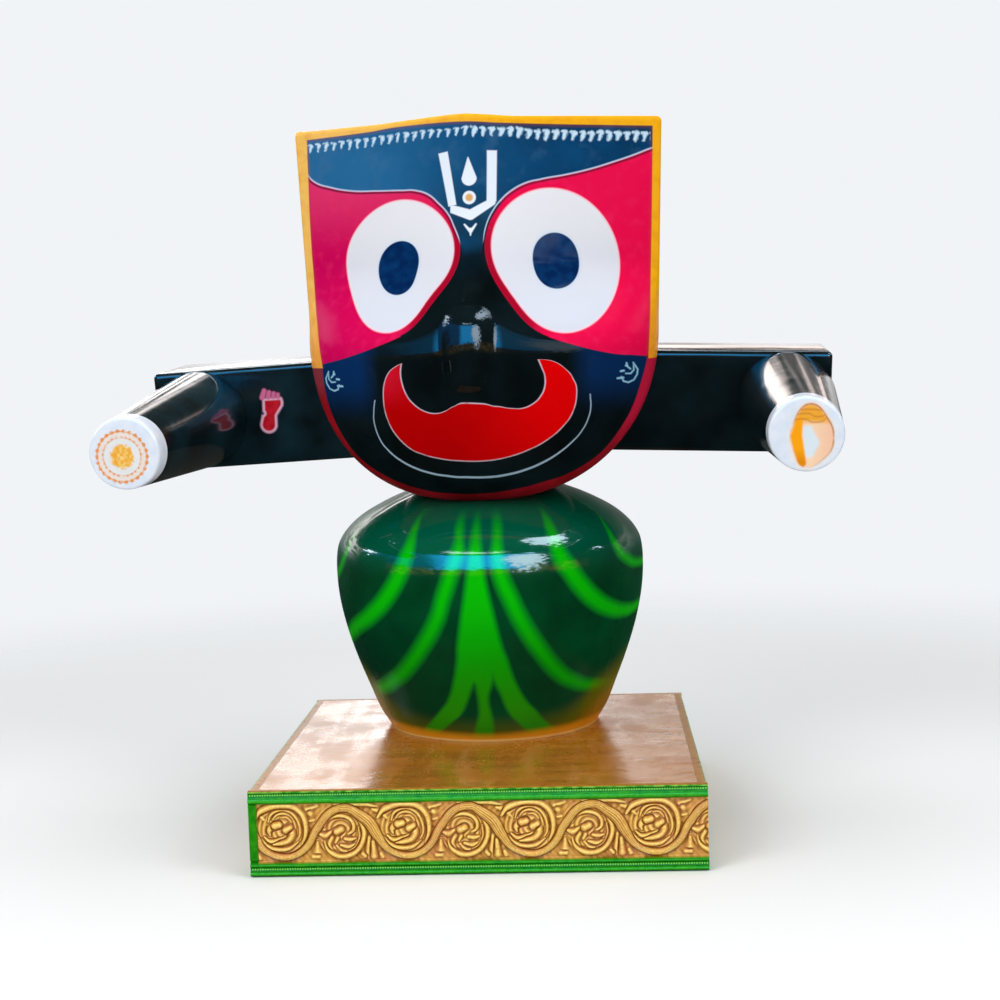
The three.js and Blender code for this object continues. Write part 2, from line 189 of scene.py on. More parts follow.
def half_width(v):
    """Half the face's width: a flattened ellipse below the jaw, straight sides widening above it."""
    d = jaw_share(v)
    below = JAW_WIDTH / 2 * np.clip(1 - d**2.22, 0, 1) ** (1 / 2.3)
    above = lerp(JAW_WIDTH, HEAD_WIDTH, (v - JAW_RISE) / (HEAD_TOP - JAW_RISE)) / 2
    return np.where(d > 0, below, above)


def ridge_depth(v):
    """How far the middle stands forward: a half ellipse up to the muzzle's crest, then leaning back."""
    fall = np.clip((CREST_RISE - v) / (CREST_RISE + CHIN_DROP), 0, 1)
    below = np.clip((HEAD_TOP - v) / (HEAD_TOP - CREST_RISE), 0, 1)
    lean = lerp(below, below**2.1, 0.8)
    muzzle = MUZZLE_DEPTH * np.sqrt(1 - fall**2.2)
    rounding = 2.8 * np.clip(1 - np.abs(v - CREST_RISE) / 28, 0, 1) ** 2
    return np.where(v < CREST_RISE, muzzle, lerp(TOP_RIDGE_DEPTH, MUZZLE_DEPTH, lean)) - rounding


CROWN_PLACES = [-262, -140, -60, -20, -4, 14, 60, 262]
CROWN_RISE = [-1.4, 0, 4, 5.4, 5.4, 4, 0.8, 0]


def crown(u, v):
    """How far the top edge rises towards its middle, fading out down the forehead."""
    rise = np.interp(u, CROWN_PLACES, CROWN_RISE)
    return rise * smoothstep(v, 400, HEAD_TOP - RIM_ROUND)


def nose(u, v):
    """The nose: a broad swelling that carries a round bulb."""
    across, up = u / (0.12 * HEAD_WIDTH), (v - 0.44 * HEAD_HEIGHT) / (0.0666 * HEAD_HEIGHT)
    broad = np.exp(-(across**2) - up**2)
    bulb = np.clip(1 - ((u + 6) / 38) ** 2 - np.abs((v - 198) / 62) ** 5, 0, None) ** 1.15
    return 5 * broad + 15 * bulb


def face_points(share, v):
    """The painted front, at shares -1 to 1 of the half width: a bowl at the muzzle, a roof at the brow."""
    half, middle = half_width(v), middle_of(v)
    roof = 1.12 - np.hypot(0.12, math.sqrt(1.24) * share)
    bowl = np.sqrt(np.clip(1 - np.abs(share) ** 2.2, 0, 1))
    across = lerp(bowl, roof, smoothstep(v, 0.3517 * HEAD_HEIGHT, 0.592 * HEAD_HEIGHT))
    u = middle + share * half
    return np.stack([u, -FACE_FORWARD - ridge_depth(v) * across - nose(u, v), v + crown(u, v)], -1)


def back_points(angle, v):
    """The rounded back, at angles 0 to pi from the right edge to the left: a flattened ellipse."""
    half, middle = half_width(v), middle_of(v)
    depth = HEAD_BACK_DEPTH * np.clip(1 - jaw_share(v) ** 3.5, 0, 1) ** (1 / 3.5)
    u = middle + np.sign(np.cos(angle)) * np.abs(np.cos(angle)) ** (2 / 2.6) * half
    return np.stack([u, -FACE_FORWARD + depth * np.sin(angle) ** (2 / 2.6), v + 0 * u], -1)


def corner_points(start, corner, end, count=7):
    """A corner of a ring rounded off: a parabola from the point before it to the point after it."""
    t = (np.arange(count) + 1)[None, :, None] / (count + 1)
    a, b, c = start[:, None], corner[:, None], end[:, None]
    return (1 - t) ** 2 * a + 2 * t * (1 - t) * b + t**2 * c


def head_rings():
    """The levels from the chin to the top, then the rounded rim and the flat top, closing to the middle."""
    swing = np.linspace(0.03, math.pi / 2, CHIN_RINGS, endpoint=False)
    low = (1 - np.sin(swing) ** 2.3) ** (1 / 2.22)
    levels = np.concatenate([
        JAW_RISE - low * (JAW_RISE + CHIN_DROP),
        np.linspace(JAW_RISE, HEAD_TOP - RIM_ROUND, SIDE_RINGS),
    ])
    v = levels[:, None]
    edge = 0.985
    share = np.sin(np.linspace(-1, 1, FACE_COLUMNS) * math.asin(edge))[None, :]
    t = np.linspace(0.024, 0.976, BACK_COLUMNS)[None, :]
    face, back = face_points(share, v), back_points(math.pi / 2 * (1 - np.cos(math.pi * t)), v)
    right, left = (back_points(np.array([[a]]), v)[:, 0] for a in (0.0, math.pi))
    rings = np.concatenate([
        face, corner_points(face[:, -1], right, back[:, 0]),
        back, corner_points(back[:, -1], left, face[:, 0]),
    ], 1)
    rim = rings[-1]
    middle = rim.mean(0) * [1, 1, 0]
    out = (rim - middle) * [1, 1, 0]
    reach = np.linalg.norm(out, axis=1, keepdims=True)
    turn = np.linspace(0, 90, 7)[1:] * math.pi / 180
    level = rim * [0, 0, 1]
    rolled = []
    for a in turn:
        shrunk = out * (1 - RIM_ROUND * (1 - math.cos(a)) / reach)
        rolled.append(middle + shrunk + level + [0, 0, RIM_ROUND * math.sin(a)])
    top = middle + [0, 0, HEAD_TOP]
    lid = [top + (rolled[-1] - top) * share for share in np.linspace(0.9, 0.1, 9)]
    return np.concatenate([rings, rolled, lid])


def lathe_rings(profile, around):
    """Rings of (radius, height) pairs turned about an upright axis."""
    angle = np.linspace(0, 2 * math.pi, around, endpoint=False)
    r, z = profile[:, :1], profile[:, 1:]
    return np.stack([r * np.cos(angle), r * np.sin(angle), z + 0 * angle], -1)


def body_profile():
    """The pot-shaped outline from the plinth to the neck, smoothed, and its neck carried up into the head."""
    outline = [(radius * BODY_RADIUS, height * BODY_HEIGHT) for height, radius in BODY_OUTLINE]
    curve = smooth_through(outline, 110)
    neck = [[curve[-1, 0], BODY_HEIGHT + NECK_INSET]]
    return np.minimum(np.concatenate([curve, neck]), [BODY_RADIUS, np.inf])


def pocket(droop, side):
    """The beam's space in the head, with the clearance round it."""
    gap = CLEARANCE
    rings = beam_rings(BEAM_INNER_END - gap, POCKET_OUTER_END, BEAM_CORNER + gap, gap)
    rings[..., 0] *= side
    points, faces = skin(rings)
    return new_object("pocket", place(points, arm_frame(droop)), faces, mirrored=side < 0)


def make_head_and_body():
    """The head and body joined, with a pocket cut for each beam."""
    points, faces = skin(head_rings())
    head = new_object("head_and_body_surface", place(points, head_frame()), faces)
    points, faces = skin(lathe_rings(body_profile(), 160))
    body = new_object("body_shell", place(points, body_frame()), faces)
    boolean(head, "UNION", [body])
    boolean(head, "DIFFERENCE", [pocket(CONCH_ARM_DROOP, 1), pocket(WHEEL_ARM_DROOP, -1)])
    finish_shading(head)
    return head


def body_faces(piece):
    """Gives the second material to faces on the turned body, as far from its axis as its outline says."""
    count = len(piece.data.polygons)
    centres = np.empty(count * 3)
    piece.data.polygons.foreach_get("center", centres)
    centres = centres.reshape(-1, 3) / MM - [*BODY_AXIS, PLINTH_HEIGHT]
    profile = body_profile()
    outline = np.interp(centres[:, 2], profile[:, 1], profile[:, 0])
    away = np.abs(np.hypot(centres[:, 0], centres[:, 1]) - outline)
    near, foot = away < 1.5, centres[:, 2] < 1
    on_body = near & (centres[:, 2] < BODY_HEIGHT + NECK_INSET) | foot
    piece.data.polygons.foreach_set("material_index", on_body.astype(np.int32))


# The arms: a square beam with softened edges, and a round tapering forearm with a flat painted end.

def beam_rings(start, end, corner, grow=0.0):
    """Rounded rectangles along the beam, with the outer end's edge rounded by the same corner."""
    turn = np.linspace(0, math.pi / 2, 7)
    arcs = [turn + quarter * math.pi / 2 for quarter in range(4)]
    top, foot = BEAM_HEIGHT / 2 + grow, -BEAM_HEIGHT / 2 - grow
    front, back = -grow, BEAM_DEPTH + grow

    def ring(x, inset):
        centres = [(back - corner, top - corner), (front + corner, top - corner),
                   (front + corner, foot + corner), (back - corner, foot + corner)]
        radius = max(corner - inset, 0.4)
        line = [[(x, y + radius * math.cos(a), z + radius * math.sin(a)) for a in arc]
                for (y, z), arc in zip(centres, arcs)]
        return np.concatenate(line)

    roll = [(end - corner + corner * math.sin(a), corner * (1 - math.cos(a))) for a in turn[1:]]
    return np.array([ring(start, 0.0), ring(end - corner, 0.0)] + [ring(x, inset) for x, inset in roll])


def forearm_profile():
    """Radius and distance along the forearm: an even taper from the beam to a rounded rim at the end."""
    turn = np.linspace(0, math.pi / 2, 7)
    taper = (ROOT_RADIUS - WRIST_RADIUS) / (FOREARM_LENGTH + 4)
    sleeve = [(ROOT_RADIUS - taper * (y + 4), y) for y in np.linspace(-4, FOREARM_LENGTH - 4, 42)]
    flat = WRIST_RADIUS - END_ROUND
    rim = [(flat + END_ROUND * math.cos(a), FOREARM_LENGTH - END_ROUND * (1 - math.sin(a))) for a in turn]
    lid = [(flat * s, FOREARM_LENGTH) for s in (0.8, 0.6, 0.4, 0.2)]
    return np.array(sleeve + rim + lid)


def make_arm(name, droop, side):
    """A beam and its forearm joined. The side is 1 for the conch arm and -1 for the wheel arm."""
    points, faces = skin(beam_rings(BEAM_INNER_END, BEAM_OUTER_END, BEAM_CORNER))
    points = points * [side, 1, 1]
    matrix = arm_frame(droop)
    beam = new_object(name, place(points, matrix), faces, mirrored=side < 0)
    rings = lathe_rings(forearm_profile(), 128)
    forward = np.stack([rings[..., 0] + ARM_REACH * side, -rings[..., 2], rings[..., 1]], -1)
    points, faces = skin(forward)
    forearm = new_object("forearm", place(points, matrix), faces)
    boolean(beam, "UNION", [forearm])
    finish_shading(beam)
    return beam


# Shader trees: values and colours as expressions.

class Wire:
    """One socket of a node tree. Arithmetic on it adds Math nodes, so a formula reads as it is written."""

    def __init__(self, tree, socket):
        self.tree = tree
        self.socket = socket

    def math(self, operation, *others, clamp=False):
        """A Math node on this value and the others."""
        settings = {"operation": operation, "use_clamp": clamp}
        return add_node(self.tree, "ShaderNodeMath", settings, dict(enumerate((self, *others))))

    def vector(self, operation, other, output=0):
        """A Vector Math node on this vector and another."""
        settings = {"operation": operation}
        return add_node(self.tree, "ShaderNodeVectorMath", settings, {0: self, 1: other}, output)

    def __add__(self, other):
        return self.math("ADD", other)

    def __sub__(self, other):
        return self.math("SUBTRACT", other)

    def __rsub__(self, other):
        return self.times_plus(-1.0, other)

    def __mul__(self, other):
        return self.math("MULTIPLY", other)

    def __truediv__(self, other):
        return self.math("DIVIDE", other)

    def __neg__(self):
        return self * -1.0

    def __abs__(self):
        return self.math("ABSOLUTE")

    __radd__, __rmul__ = __add__, __mul__

    def at_least(self, other):
        return self.math("MAXIMUM", other)

    def at_most(self, other):
        return self.math("MINIMUM", other)

    def times_plus(self, factor, addend, clamp=False):
        return self.math("MULTIPLY_ADD", factor, addend, clamp=clamp)

    def ramp(self, zero_at, one_at):
        """0 to 1 as the value goes from zero_at to one_at, held at both ends."""
        width = one_at - zero_at
        return self.times_plus(1 / width, -zero_at / width, clamp=True)

    def ease(self, zero_at, one_at):
        """The same with a soft start and end."""
        settings = {"interpolation_type": "SMOOTHSTEP"}
        values = {0: self, 1: zero_at, 2: one_at, 3: 0.0, 4: 1.0}
        return add_node(self.tree, "ShaderNodeMapRange", settings, values)

    def inside(self, softness=0.9):
        """1 where a distance is below zero, fading to 0 over the softness in millimetres."""
        return self.ramp(softness / 2, -softness / 2)

    def along(self, points):
        """The height of a smooth curve through (x, height) points, at this value of x."""
        xs, ys = np.array(sorted(points), float).T
        wide, tall = xs[-1] - xs[0], max(ys.max() - ys.min(), 1e-6)
        stops = list(zip((xs - xs[0]) / wide, (ys - ys.min()) / tall))
        share = self.ramp(xs[0], xs[-1])
        curve = add_node(self.tree, "ShaderNodeFloatCurve", {"points": stops}, {1: share})
        return curve.times_plus(tall, float(ys.min()))


def add_node(tree, kind, settings=None, values=None, output=0):
    """Adds one node: its settings first, with a curve's points, then the values or links of its sockets."""
    node = tree.nodes.new(kind)
    for name, setting in (settings or {}).items():
        if name == "points":
            set_curve(node, setting)
        else:
            setattr(node, name, setting)
    for key, value in (values or {}).items():
        if isinstance(value, Wire):
            tree.links.new(value.socket, node.inputs[key])
        else:
            node.inputs[key].default_value = value
    return None if output is None else Wire(tree, node.outputs[output])


def separate(vector):
    """A vector's three values."""
    node = vector.tree.nodes.new("ShaderNodeSeparateXYZ")
    vector.tree.links.new(vector.socket, node.inputs[0])
    return [Wire(vector.tree, output) for output in node.outputs]


def set_curve(node, stops):
    points = node.mapping.curves[0].points
    points[0].location = stops[0]
    points[-1].location = stops[-1]
    for stop in stops[1:-1]:
        points.new(*stop)
    node.mapping.update()


def paint(red, green, blue):
    """A colour as the eye reads it, 0 to 255, turned into light."""
    linear = [c / 255 / 12.92 if c / 255 <= 0.04045 else ((c / 255 + 0.055) / 1.055) ** 2.4
              for c in (red, green, blue)]
    return (*linear, 1.0)


def blend(share, under, over):
    """Lays one colour over another where the share is 1. Three numbers are paint, and four are light."""
    under, over = (paint(*c) if isinstance(c, tuple) and len(c) == 3 else c for c in (under, over))
    settings = {"data_type": "RGBA", "clamp_factor": True}
    return add_node(share.tree, "ShaderNodeMix", settings, {0: share, 6: under, 7: over}, 2)


def layered(colour, *layers):
    """Lays colours over the first one after another, each where its share is 1."""
    for share, over in layers:
        colour = blend(share, colour, over)
    return colour


def joined(*shapes):
    """Several shapes as one: the least of their distances."""
    nearest = shapes[0]
    for shape in shapes[1:]:
        nearest = nearest.at_most(shape)
    return nearest


class Finish:
    """A material being made, with its place on the piece in millimetres of a frame."""

    def __init__(self, name, matrix=None):
        self.material = bpy.data.materials.new(name)
        self.material.use_nodes = True
        self.tree = self.material.node_tree
        self.tree.nodes.clear()
        coordinates = add_node(self.tree, "ShaderNodeTexCoord", output=3)
        matrix = matrix or Matrix.Identity(4)
        values = {0: coordinates, 1: matrix.to_translation() * MM, 2: matrix.to_euler("XYZ"), 3: (MM, MM, MM)}
        self.point = add_node(self.tree, "ShaderNodeMapping", {"vector_type": "TEXTURE"}, values)
        self.axes = separate(self.point)

    def noise(self, scale_mm, detail=2.0, roughness=0.5, stretch=(1, 1, 1)):
        """Soft cloudy noise about 0.5, whose patches are scale_mm across."""
        scale = tuple(s / scale_mm for s in stretch)
        scaled = add_node(self.tree, "ShaderNodeMapping", {"vector_type": "POINT"}, {0: self.point, 3: scale})
        values = {"Vector": scaled, "Scale": 1.0, "Detail": detail, "Roughness": roughness}
        return add_node(self.tree, "ShaderNodeTexNoise", {}, values)

    def bump(self, height, strength, distance_mm):
        values = {"Strength": strength, "Distance": distance_mm * MM, "Height": height}
        return add_node(self.tree, "ShaderNodeBump", {}, values)

    def done(self, colour, roughness, normal, coat, specular, coat_roughness=0.03):
        """The finished material: coloured enamel under a clear coat."""
        values = {"Base Color": colour, "Roughness": roughness, "Normal": normal, "Coat Weight": coat,
                  "Coat Roughness": coat_roughness, "Specular IOR Level": specular}
        shader = add_node(self.tree, "ShaderNodeBsdfPrincipled", {}, values)
        return self.ends_in(shader)

    def ends_in(self, shader):
        add_node(self.tree, "ShaderNodeOutputMaterial", {}, {0: shader}, None)
        return self.material


def turned_reach(centre, facing, points):
    """Points round a centre, as their angles in degrees from the facing direction and their distances."""
    spans = np.array(points, float) - centre
    turned = (np.degrees(np.arctan2(spans[:, 1], spans[:, 0])) - facing + 180) % 360 - 180
    return sorted(zip(turned.tolist(), np.hypot(*spans.T).tolist()))


def closed_reach(centre, points, waves):
    """The same all the way round from the right, smoothed to a few waves by least squares."""
    def terms(degrees):
        turns = np.radians(degrees)[:, None] * np.arange(waves + 1)
        return np.concatenate([np.cos(turns), np.sin(turns[:, 1:])], 1)

    known = np.array(turned_reach(centre, 0, points))
    shares = np.linalg.lstsq(terms(known[:, 0]), known[:, 1], rcond=None)[0]
    degrees = np.linspace(-180, 180, 49)
    return list(zip(degrees.tolist(), (terms(degrees) @ shares).tolist()))


class Brush:
    """Painted shapes on a flat place: each gives a distance in millimetres, below zero inside."""

    def __init__(self, finish, across, up):
        self.across, self.up = across, up
        self.spot = add_node(finish.tree, "ShaderNodeCombineXYZ", {}, {0: across, 1: up})

    def dot(self, centre, radius):
        return self.spot.vector("DISTANCE", (*centre, 0), 1) - radius

    def segment(self, start, end, start_width, end_width=None):
        """The distance from a straight stroke with round ends, wider or thinner towards its end."""
        end_width = start_width if end_width is None else end_width
        a, b = np.array(start, float), np.array(end, float)
        d = (b - a) / np.dot(b - a, b - a)
        dot = self.spot.vector("DOT_PRODUCT", (*d, 0), 1)
        share = dot.math("SUBTRACT", float(np.dot(a, d)), clamp=True)
        values = {0: share, 1: (*(b - a), 0), 2: (*a, 0)}
        nearest = add_node(share.tree, "ShaderNodeVectorMath", {"operation": "MULTIPLY_ADD"}, values)
        away = self.spot.vector("DISTANCE", nearest, 1)
        return away - share.times_plus((end_width - start_width) / 2, start_width / 2)

    def bar(self, start, end, start_width, end_width=None):
        """The same with square ends."""
        end_width = start_width if end_width is None else end_width
        a, b = np.array(start, float), np.array(end, float)
        length = float(np.linalg.norm(b - a))
        d = (b - a) / length
        forward = self.spot.vector("DOT_PRODUCT", (*d, 0), 1) - float(np.dot(a, d))
        side = self.spot.vector("DOT_PRODUCT", (-d[1], d[0], 0), 1) - float(np.dot(a, (-d[1], d[0])))
        half = forward.times_plus((end_width - start_width) / 2 / length, start_width / 2)
        return (abs(side) - half).at_least(abs(forward - length / 2) - length / 2)

    def polar(self, centre, facing=-90):
        """Distance from a centre, and the angle in degrees from the facing direction, -180 to 180."""
        c, s = math.cos(math.radians(facing)), math.sin(math.radians(facing))
        offset = self.spot.vector("SUBTRACT", (*centre, 0))
        forward = offset.vector("DOT_PRODUCT", (c, s, 0), 1)
        side = offset.vector("DOT_PRODUCT", (-s, c, 0), 1)
        radius = self.spot.vector("DISTANCE", (*centre, 0), 1)
        return radius, side.math("ARCTAN2", forward) * (180 / math.pi)

    def outline(self, centre, points, waves=0):
        """How far outside a rounded outline the place is, as seen from a centre. An open outline hangs below
        its centre, and one that goes all the way round is smoothed to a few waves."""
        facing = 0 if waves else -90
        radius, angle = self.polar(centre, facing)
        reach = closed_reach(centre, points, waves) if waves else turned_reach(centre, facing, points)
        return radius - angle.along(reach)

    def line(self, points, turned_degrees):
        """How far above a freehand line the place is, in axes turned so that the line never doubles back."""
        c, s = math.cos(math.radians(turned_degrees)), math.sin(math.radians(turned_degrees))
        points = np.array(points, float)
        knots = list(zip(points @ [c, s], points @ [-s, c]))
        x = self.spot.vector("DOT_PRODUCT", (c, s, 0), 1)
        y = self.spot.vector("DOT_PRODUCT", (-s, c, 0), 1)
        return y - x.along(knots)


# The painted face. Places are millimetres in the head's axes: u across, v up.

LEFT_EYE = [
    (-190.6, 319), (-181, 356), (-160, 386), (-123, 406), (-85, 407), (-50, 390), (-28, 358), (-24.5, 330),
    (-38, 298), (-64, 263), (-90, 237), (-117, 222.5), (-143, 228), (-167, 254), (-183, 287),
]
RIGHT_EYE = [
    (27, 334), (32, 366), (52, 397), (83, 414), (115, 416.5), (150, 406), (180, 377), (197, 340),
    (201.5, 308), (194, 267), (173, 235), (145, 218), (118, 216), (92, 228), (63, 258), (38, 295),
]
LEFT_PUPIL = [
    (-139, 313), (-131, 337), (-108, 351), (-86, 345), (-77, 322), (-84, 294), (-106, 276), (-129, 285),
]
RIGHT_PUPIL = [
    (83, 322), (90, 347), (113, 354.5), (136, 343), (145.5, 314), (137, 288), (113, 277), (90, 291),
]
LEFT_BROW = [
    (-262, 478), (-248, 457), (-235, 443), (-211, 434), (-180, 427), (-140, 424), (-100, 422), (-78, 420),
    (-62, 414), (-47, 401), (-35, 388), (-24, 366), (-16, 344), (-12, 318), (-9, 280),
]
RIGHT_BROW = [
    (262, 476), (246, 471), (225, 463), (198, 454), (165, 444), (130, 436), (96, 430), (70, 423), (53, 413),
    (40, 401), (29, 386), (20, 366), (16, 344), (13, 318), (11, 280),
]
LEFT_CHEEK = [(-240, 178), (-223, 182), (-170, 194), (-129, 207), (-105, 216), (-82, 229)]
RIGHT_CHEEK = [(68, 229), (98, 214), (127, 203), (171, 190), (220, 182), (245, 179)]
MOUTH_OUTER = [
    (-99, 181), (-108, 177), (-119, 168), (-126, 153), (-128.5, 133), (-125.5, 106), (-115, 82), (-99, 64),
    (-77, 52.5), (-45, 44.5), (-10, 41.5), (24, 43), (58, 51), (92, 66), (118, 86), (134, 108), (140, 133),
    (136, 153), (125, 168), (110, 178), (92, 181),
]
MOUTH_INNER = [
    (-99, 181), (-101, 168), (-99.5, 153), (-94, 137), (-83, 123), (-69, 114), (-54, 111), (-41, 114),
    (-28, 120.5), (-13, 124.5), (5, 123.5), (28, 119), (49, 115.5), (66, 115), (79, 120), (90, 129.5),
    (97, 143), (98, 157), (94.5, 169), (90, 181),
]
CHIN_LINE = [
    (-141, 132), (-144.5, 115), (-145, 95), (-140, 76), (-129, 59), (-111, 43), (-89, 31), (-66, 23.5),
    (-36, 18.5), (-1, 17), (28, 18.5), (52, 23), (78, 31.5), (104, 44.5), (126, 60.5), (144, 79), (154, 97),
    (158, 112), (158, 125),
]
CHIN_BAND = [
    (-226, 194), (-223.5, 176), (-222.5, 149), (-220, 131), (-215.5, 113), (-209, 94.5), (-200, 76),
    (-188.5, 57), (-170.5, 38.5), (-146, 21.5), (-116, 7), (-74, -5), (-25, -9.6), (23, -7), (71, 1.7),
    (114, 13.5), (149, 31), (171.5, 48), (187.5, 66), (200, 83.5), (210.5, 100.5), (218.5, 118), (225, 136),
    (230.5, 153), (235.5, 171), (239.5, 194),
]
TOP_EDGE = [
    (-260, 503), (-200, 505), (-150, 507), (-90, 511), (-40, 511.5), (40, 508), (100, 506), (200, 504),
    (260, 503),
]
LEFT_EDGE = [
    (170, -222), (195, -225.5), (231, -232), (274, -240), (318, -244), (361, -245.5), (404, -246),
    (461, -245.5), (520, -245),
]
RIGHT_EDGE = [
    (170, 238), (195, 239.8), (230, 241.9), (272, 243.4), (315, 245), (399, 248.3), (483, 251), (520, 252),
]

COMMA_ROW = [(-250, 491.5), (-170, 492.5), (-100, 496), (-30, 498), (40, 496), (120, 490.5), (250, 489)]


def face_finish():
    """Enamel painting on the head: blue forehead, crimson cheeks, round eyes, tilak, mouth and borders."""
    f = Finish("painted_face_enamel", head_frame())
    u, b, v = f.axes
    brush = Brush(f, u, v)
    cloud = f.noise(70, 3.0)
    mottle = f.noise(14, 3.0)

    black = blend(cloud.ramp(0.35, 0.7), (7, 13, 14), (12, 24, 28))
    forehead = blend(u.ease(-170, 120), (36, 98, 144), (4, 50, 86))
    shade = (abs(u + 2).ease(105, 12) * v.ease(470, 330)).at_most(0.9)
    forehead = layered(
        forehead,
        (shade, (18, 44, 60)),
        (cloud.ramp(0.42, 0.68) * 0.5, (6, 72, 118)),
        (f.noise(40, 3.0).ramp(0.5, 0.72) * v.ease(360, 440) * 0.45, (64, 104, 140)),
        ((v.ease(490, 508) * u.ease(-40, 60)) * 0.5, (10, 40, 58)),
    )
    crimson = layered(
        blend(u.ease(-260, 30), (193, 6, 82), (224, 12, 70)),
        ((v.ease(330, 440) * u.ease(60, -190)) * 0.8, (216, 52, 104)),
        (mottle.ramp(0.5, 0.8) * 0.25, (235, 52, 108)),
    )

    left_eye = brush.outline((-110, 314), LEFT_EYE, 4)
    right_eye = brush.outline((116, 314), RIGHT_EYE, 4)
    left_brow, right_brow = brush.line(LEFT_BROW, -30), brush.line(RIGHT_BROW, 30)
    left_cheek, right_cheek = brush.line(LEFT_CHEEK, 16), brush.line(RIGHT_CHEEK, -16)

    # Black ground, with navy towards the corners of the jaw.
    navy = (abs(u).ease(128, 168) * v.ease(96, 165)) * u.ease(250, -80).times_plus(0.25, 0.75)
    colour = blend(navy, black, (8, 42, 86))

    # Forehead above both brow lines, fading into the black of the nose.
    above = left_brow.at_least(u.times_plus(1.0, 13)).at_most(right_brow.at_least(u.times_plus(-1.0, 12)))
    colour = blend(above.ramp(-0.5, 0.5) * v.ease(322, 348), colour, forehead)

    # Crimson below each brow line and above the cheek line, and the rims of the eyes.
    left_rim, right_rim = left_eye - 8.5, right_eye - 8.5
    fills = []
    for side, brow, cheek, rim, outer in ((1.0, left_brow, left_cheek, left_rim, 100),
                                          (-1.0, right_brow, right_cheek, right_rim, 104)):
        below = brow.at_least(-cheek).at_least(u.times_plus(side, outer)).at_most(rim)
        fills.append(brow.at_least(u.times_plus(side, 40)).at_least(392 - v).at_most(below).at_least(brow))
    crimson_place = joined(*fills)
    colour = blend(crimson_place.inside(1.4), colour, crimson)
    inner = abs(u).ease(112, 70) * v.ease(410, 330)
    rims = left_rim.at_most(right_rim).inside(2.0) * inner
    colour = blend(rims * 0.9, colour, (150, 8, 34))

    # White brow lines with a dark stroke under them.
    left_line, right_line = abs(left_brow + 3.2) - 1.5, abs(right_brow + 3.2) - 1.5
    reach = v.ease(340, 356)
    colour = blend(left_line.at_most(right_line).inside(1.6) * reach * 0.75, colour, (52, 20, 44))
    left_line, right_line = abs(left_brow) - 1.1, abs(right_brow) - 1.1
    colour = blend(left_line.at_most(right_line).inside(1.2) * reach * 0.85, colour, (176, 200, 224))

    # Eyes.
    whites = left_eye.at_most(right_eye)
    white = blend(v.ease(215, 420), (203, 207, 219), (222, 221, 226))
    colour = layered(
        colour,
        (whites.inside(2.2), (244, 190, 204)),
        ((whites + 1.6).inside(2.6), white),
    )
    left_pupil = brush.outline((-108, 313), LEFT_PUPIL, 3)
    right_pupil = brush.outline((114, 316), RIGHT_PUPIL, 2)
    pupils = left_pupil.at_most(right_pupil)
    navy_paint = blend(mottle.ramp(0.4, 0.7), (4, 34, 78), (8, 50, 96))
    colour = layered(
        colour,
        ((pupils - 3).inside(4.0) * 0.35, (178, 206, 232)),
        (pupils.inside(1.4), navy_paint),
    )

    # Tilak: two bars, a shallow V between them, a drop, a dot and a small V.
    left_bar = brush.bar((-38.5, 470), (-26.5, 396), 13.5, 11.5)
    right_bar = brush.bar((30, 470), (28, 400), 13.5, 13)
    left_v = brush.segment((-26.5, 391), (-1, 382), 11, 14)
    right_v = brush.segment((28.5, 399), (-1, 382), 10, 14)
    chevron = left_v.at_most(right_v).at_least(abs(u - 2.5) - 32)
    drop = brush.segment((-3, 461), (-2.2, 433), 1.5, 21)
    small = [brush.segment((-1, 362), (-1.2, 354), 4.5, 1.5)]
    small += [brush.segment((x, 369), (-1, 359), 2.2, 4.5) for x in (-9.5, 6.5)]
    tilak = joined(left_bar, right_bar, chevron, drop, brush.dot((-2.4, 406), 9.2), *small)
    colour = layered(
        colour,
        (tilak.inside(1.6), (218, 226, 238)),
        (brush.dot((-2.4, 406), 5.2).inside(2.5), (212, 158, 92)),
    )

    # A row of white commas under the top border.
    row = u.along(COMMA_ROW)
    pitch = 12.3
    cell = (u / pitch).math("FRACT") * pitch - pitch / 2
    aside, lift = f.noise(9, 1.0).times_plus(5.0, -2.5), f.noise(16, 1.0).times_plus(6.0, -3.0)
    marks = Brush(f, cell + aside, v - row + lift)
    commas = marks.segment((1.4, 3.2), (-1.4, -5.4), 6.4, 3.0)
    commas = commas.at_most(marks.segment((-3.4, 4.6), (1.2, 5.0), 2.6, 3.0))
    within = abs(u).ramp(249, 247)
    commas = commas + f.noise(5, 2.0).times_plus(4.0, -1.2)
    commas = commas - u.ease(-60, 80).times_plus(0.9, 0.3)
    colour = blend(commas.inside(2.6) * within * 0.92, colour, (196, 222, 240))

    # The mouth: a red crescent between two fine pale lines.
    mouth_centre = (0, 165)
    outer, inner = (brush.outline(mouth_centre, points) for points in (MOUTH_OUTER, MOUTH_INNER))
    open_side = v - 181
    crescent = outer.at_least(-inner).at_least(open_side)
    red = layered(
        blend(u.ease(-40, 130), (172, 0, 2), (216, 0, 3)),
        ((u.ease(-70, -130) * v.ease(110, 170)) * 0.6, (214, 30, 60)),
        (cloud.ramp(0.4, 0.8) * 0.35, (196, 6, 10)),
    )
    colour = blend(crescent.inside(1.4), colour, red)
    lips = (abs(outer) - 0.6).at_most(abs(inner) - 0.8).at_least(open_side)
    colour = blend(lips.inside(1.4) * mottle.ramp(0.3, 0.5).times_plus(0.4, 0.5), colour, (206, 190, 204))

    # The pale line round the chin, thicker at the bottom.
    chin = abs(brush.outline((6, 130), CHIN_LINE)) - v.ease(90, 20).times_plus(0.8, 0.7)
    colour = blend(chin.at_least(v - 131).inside(1.3) * 0.85, colour, (164, 190, 210))

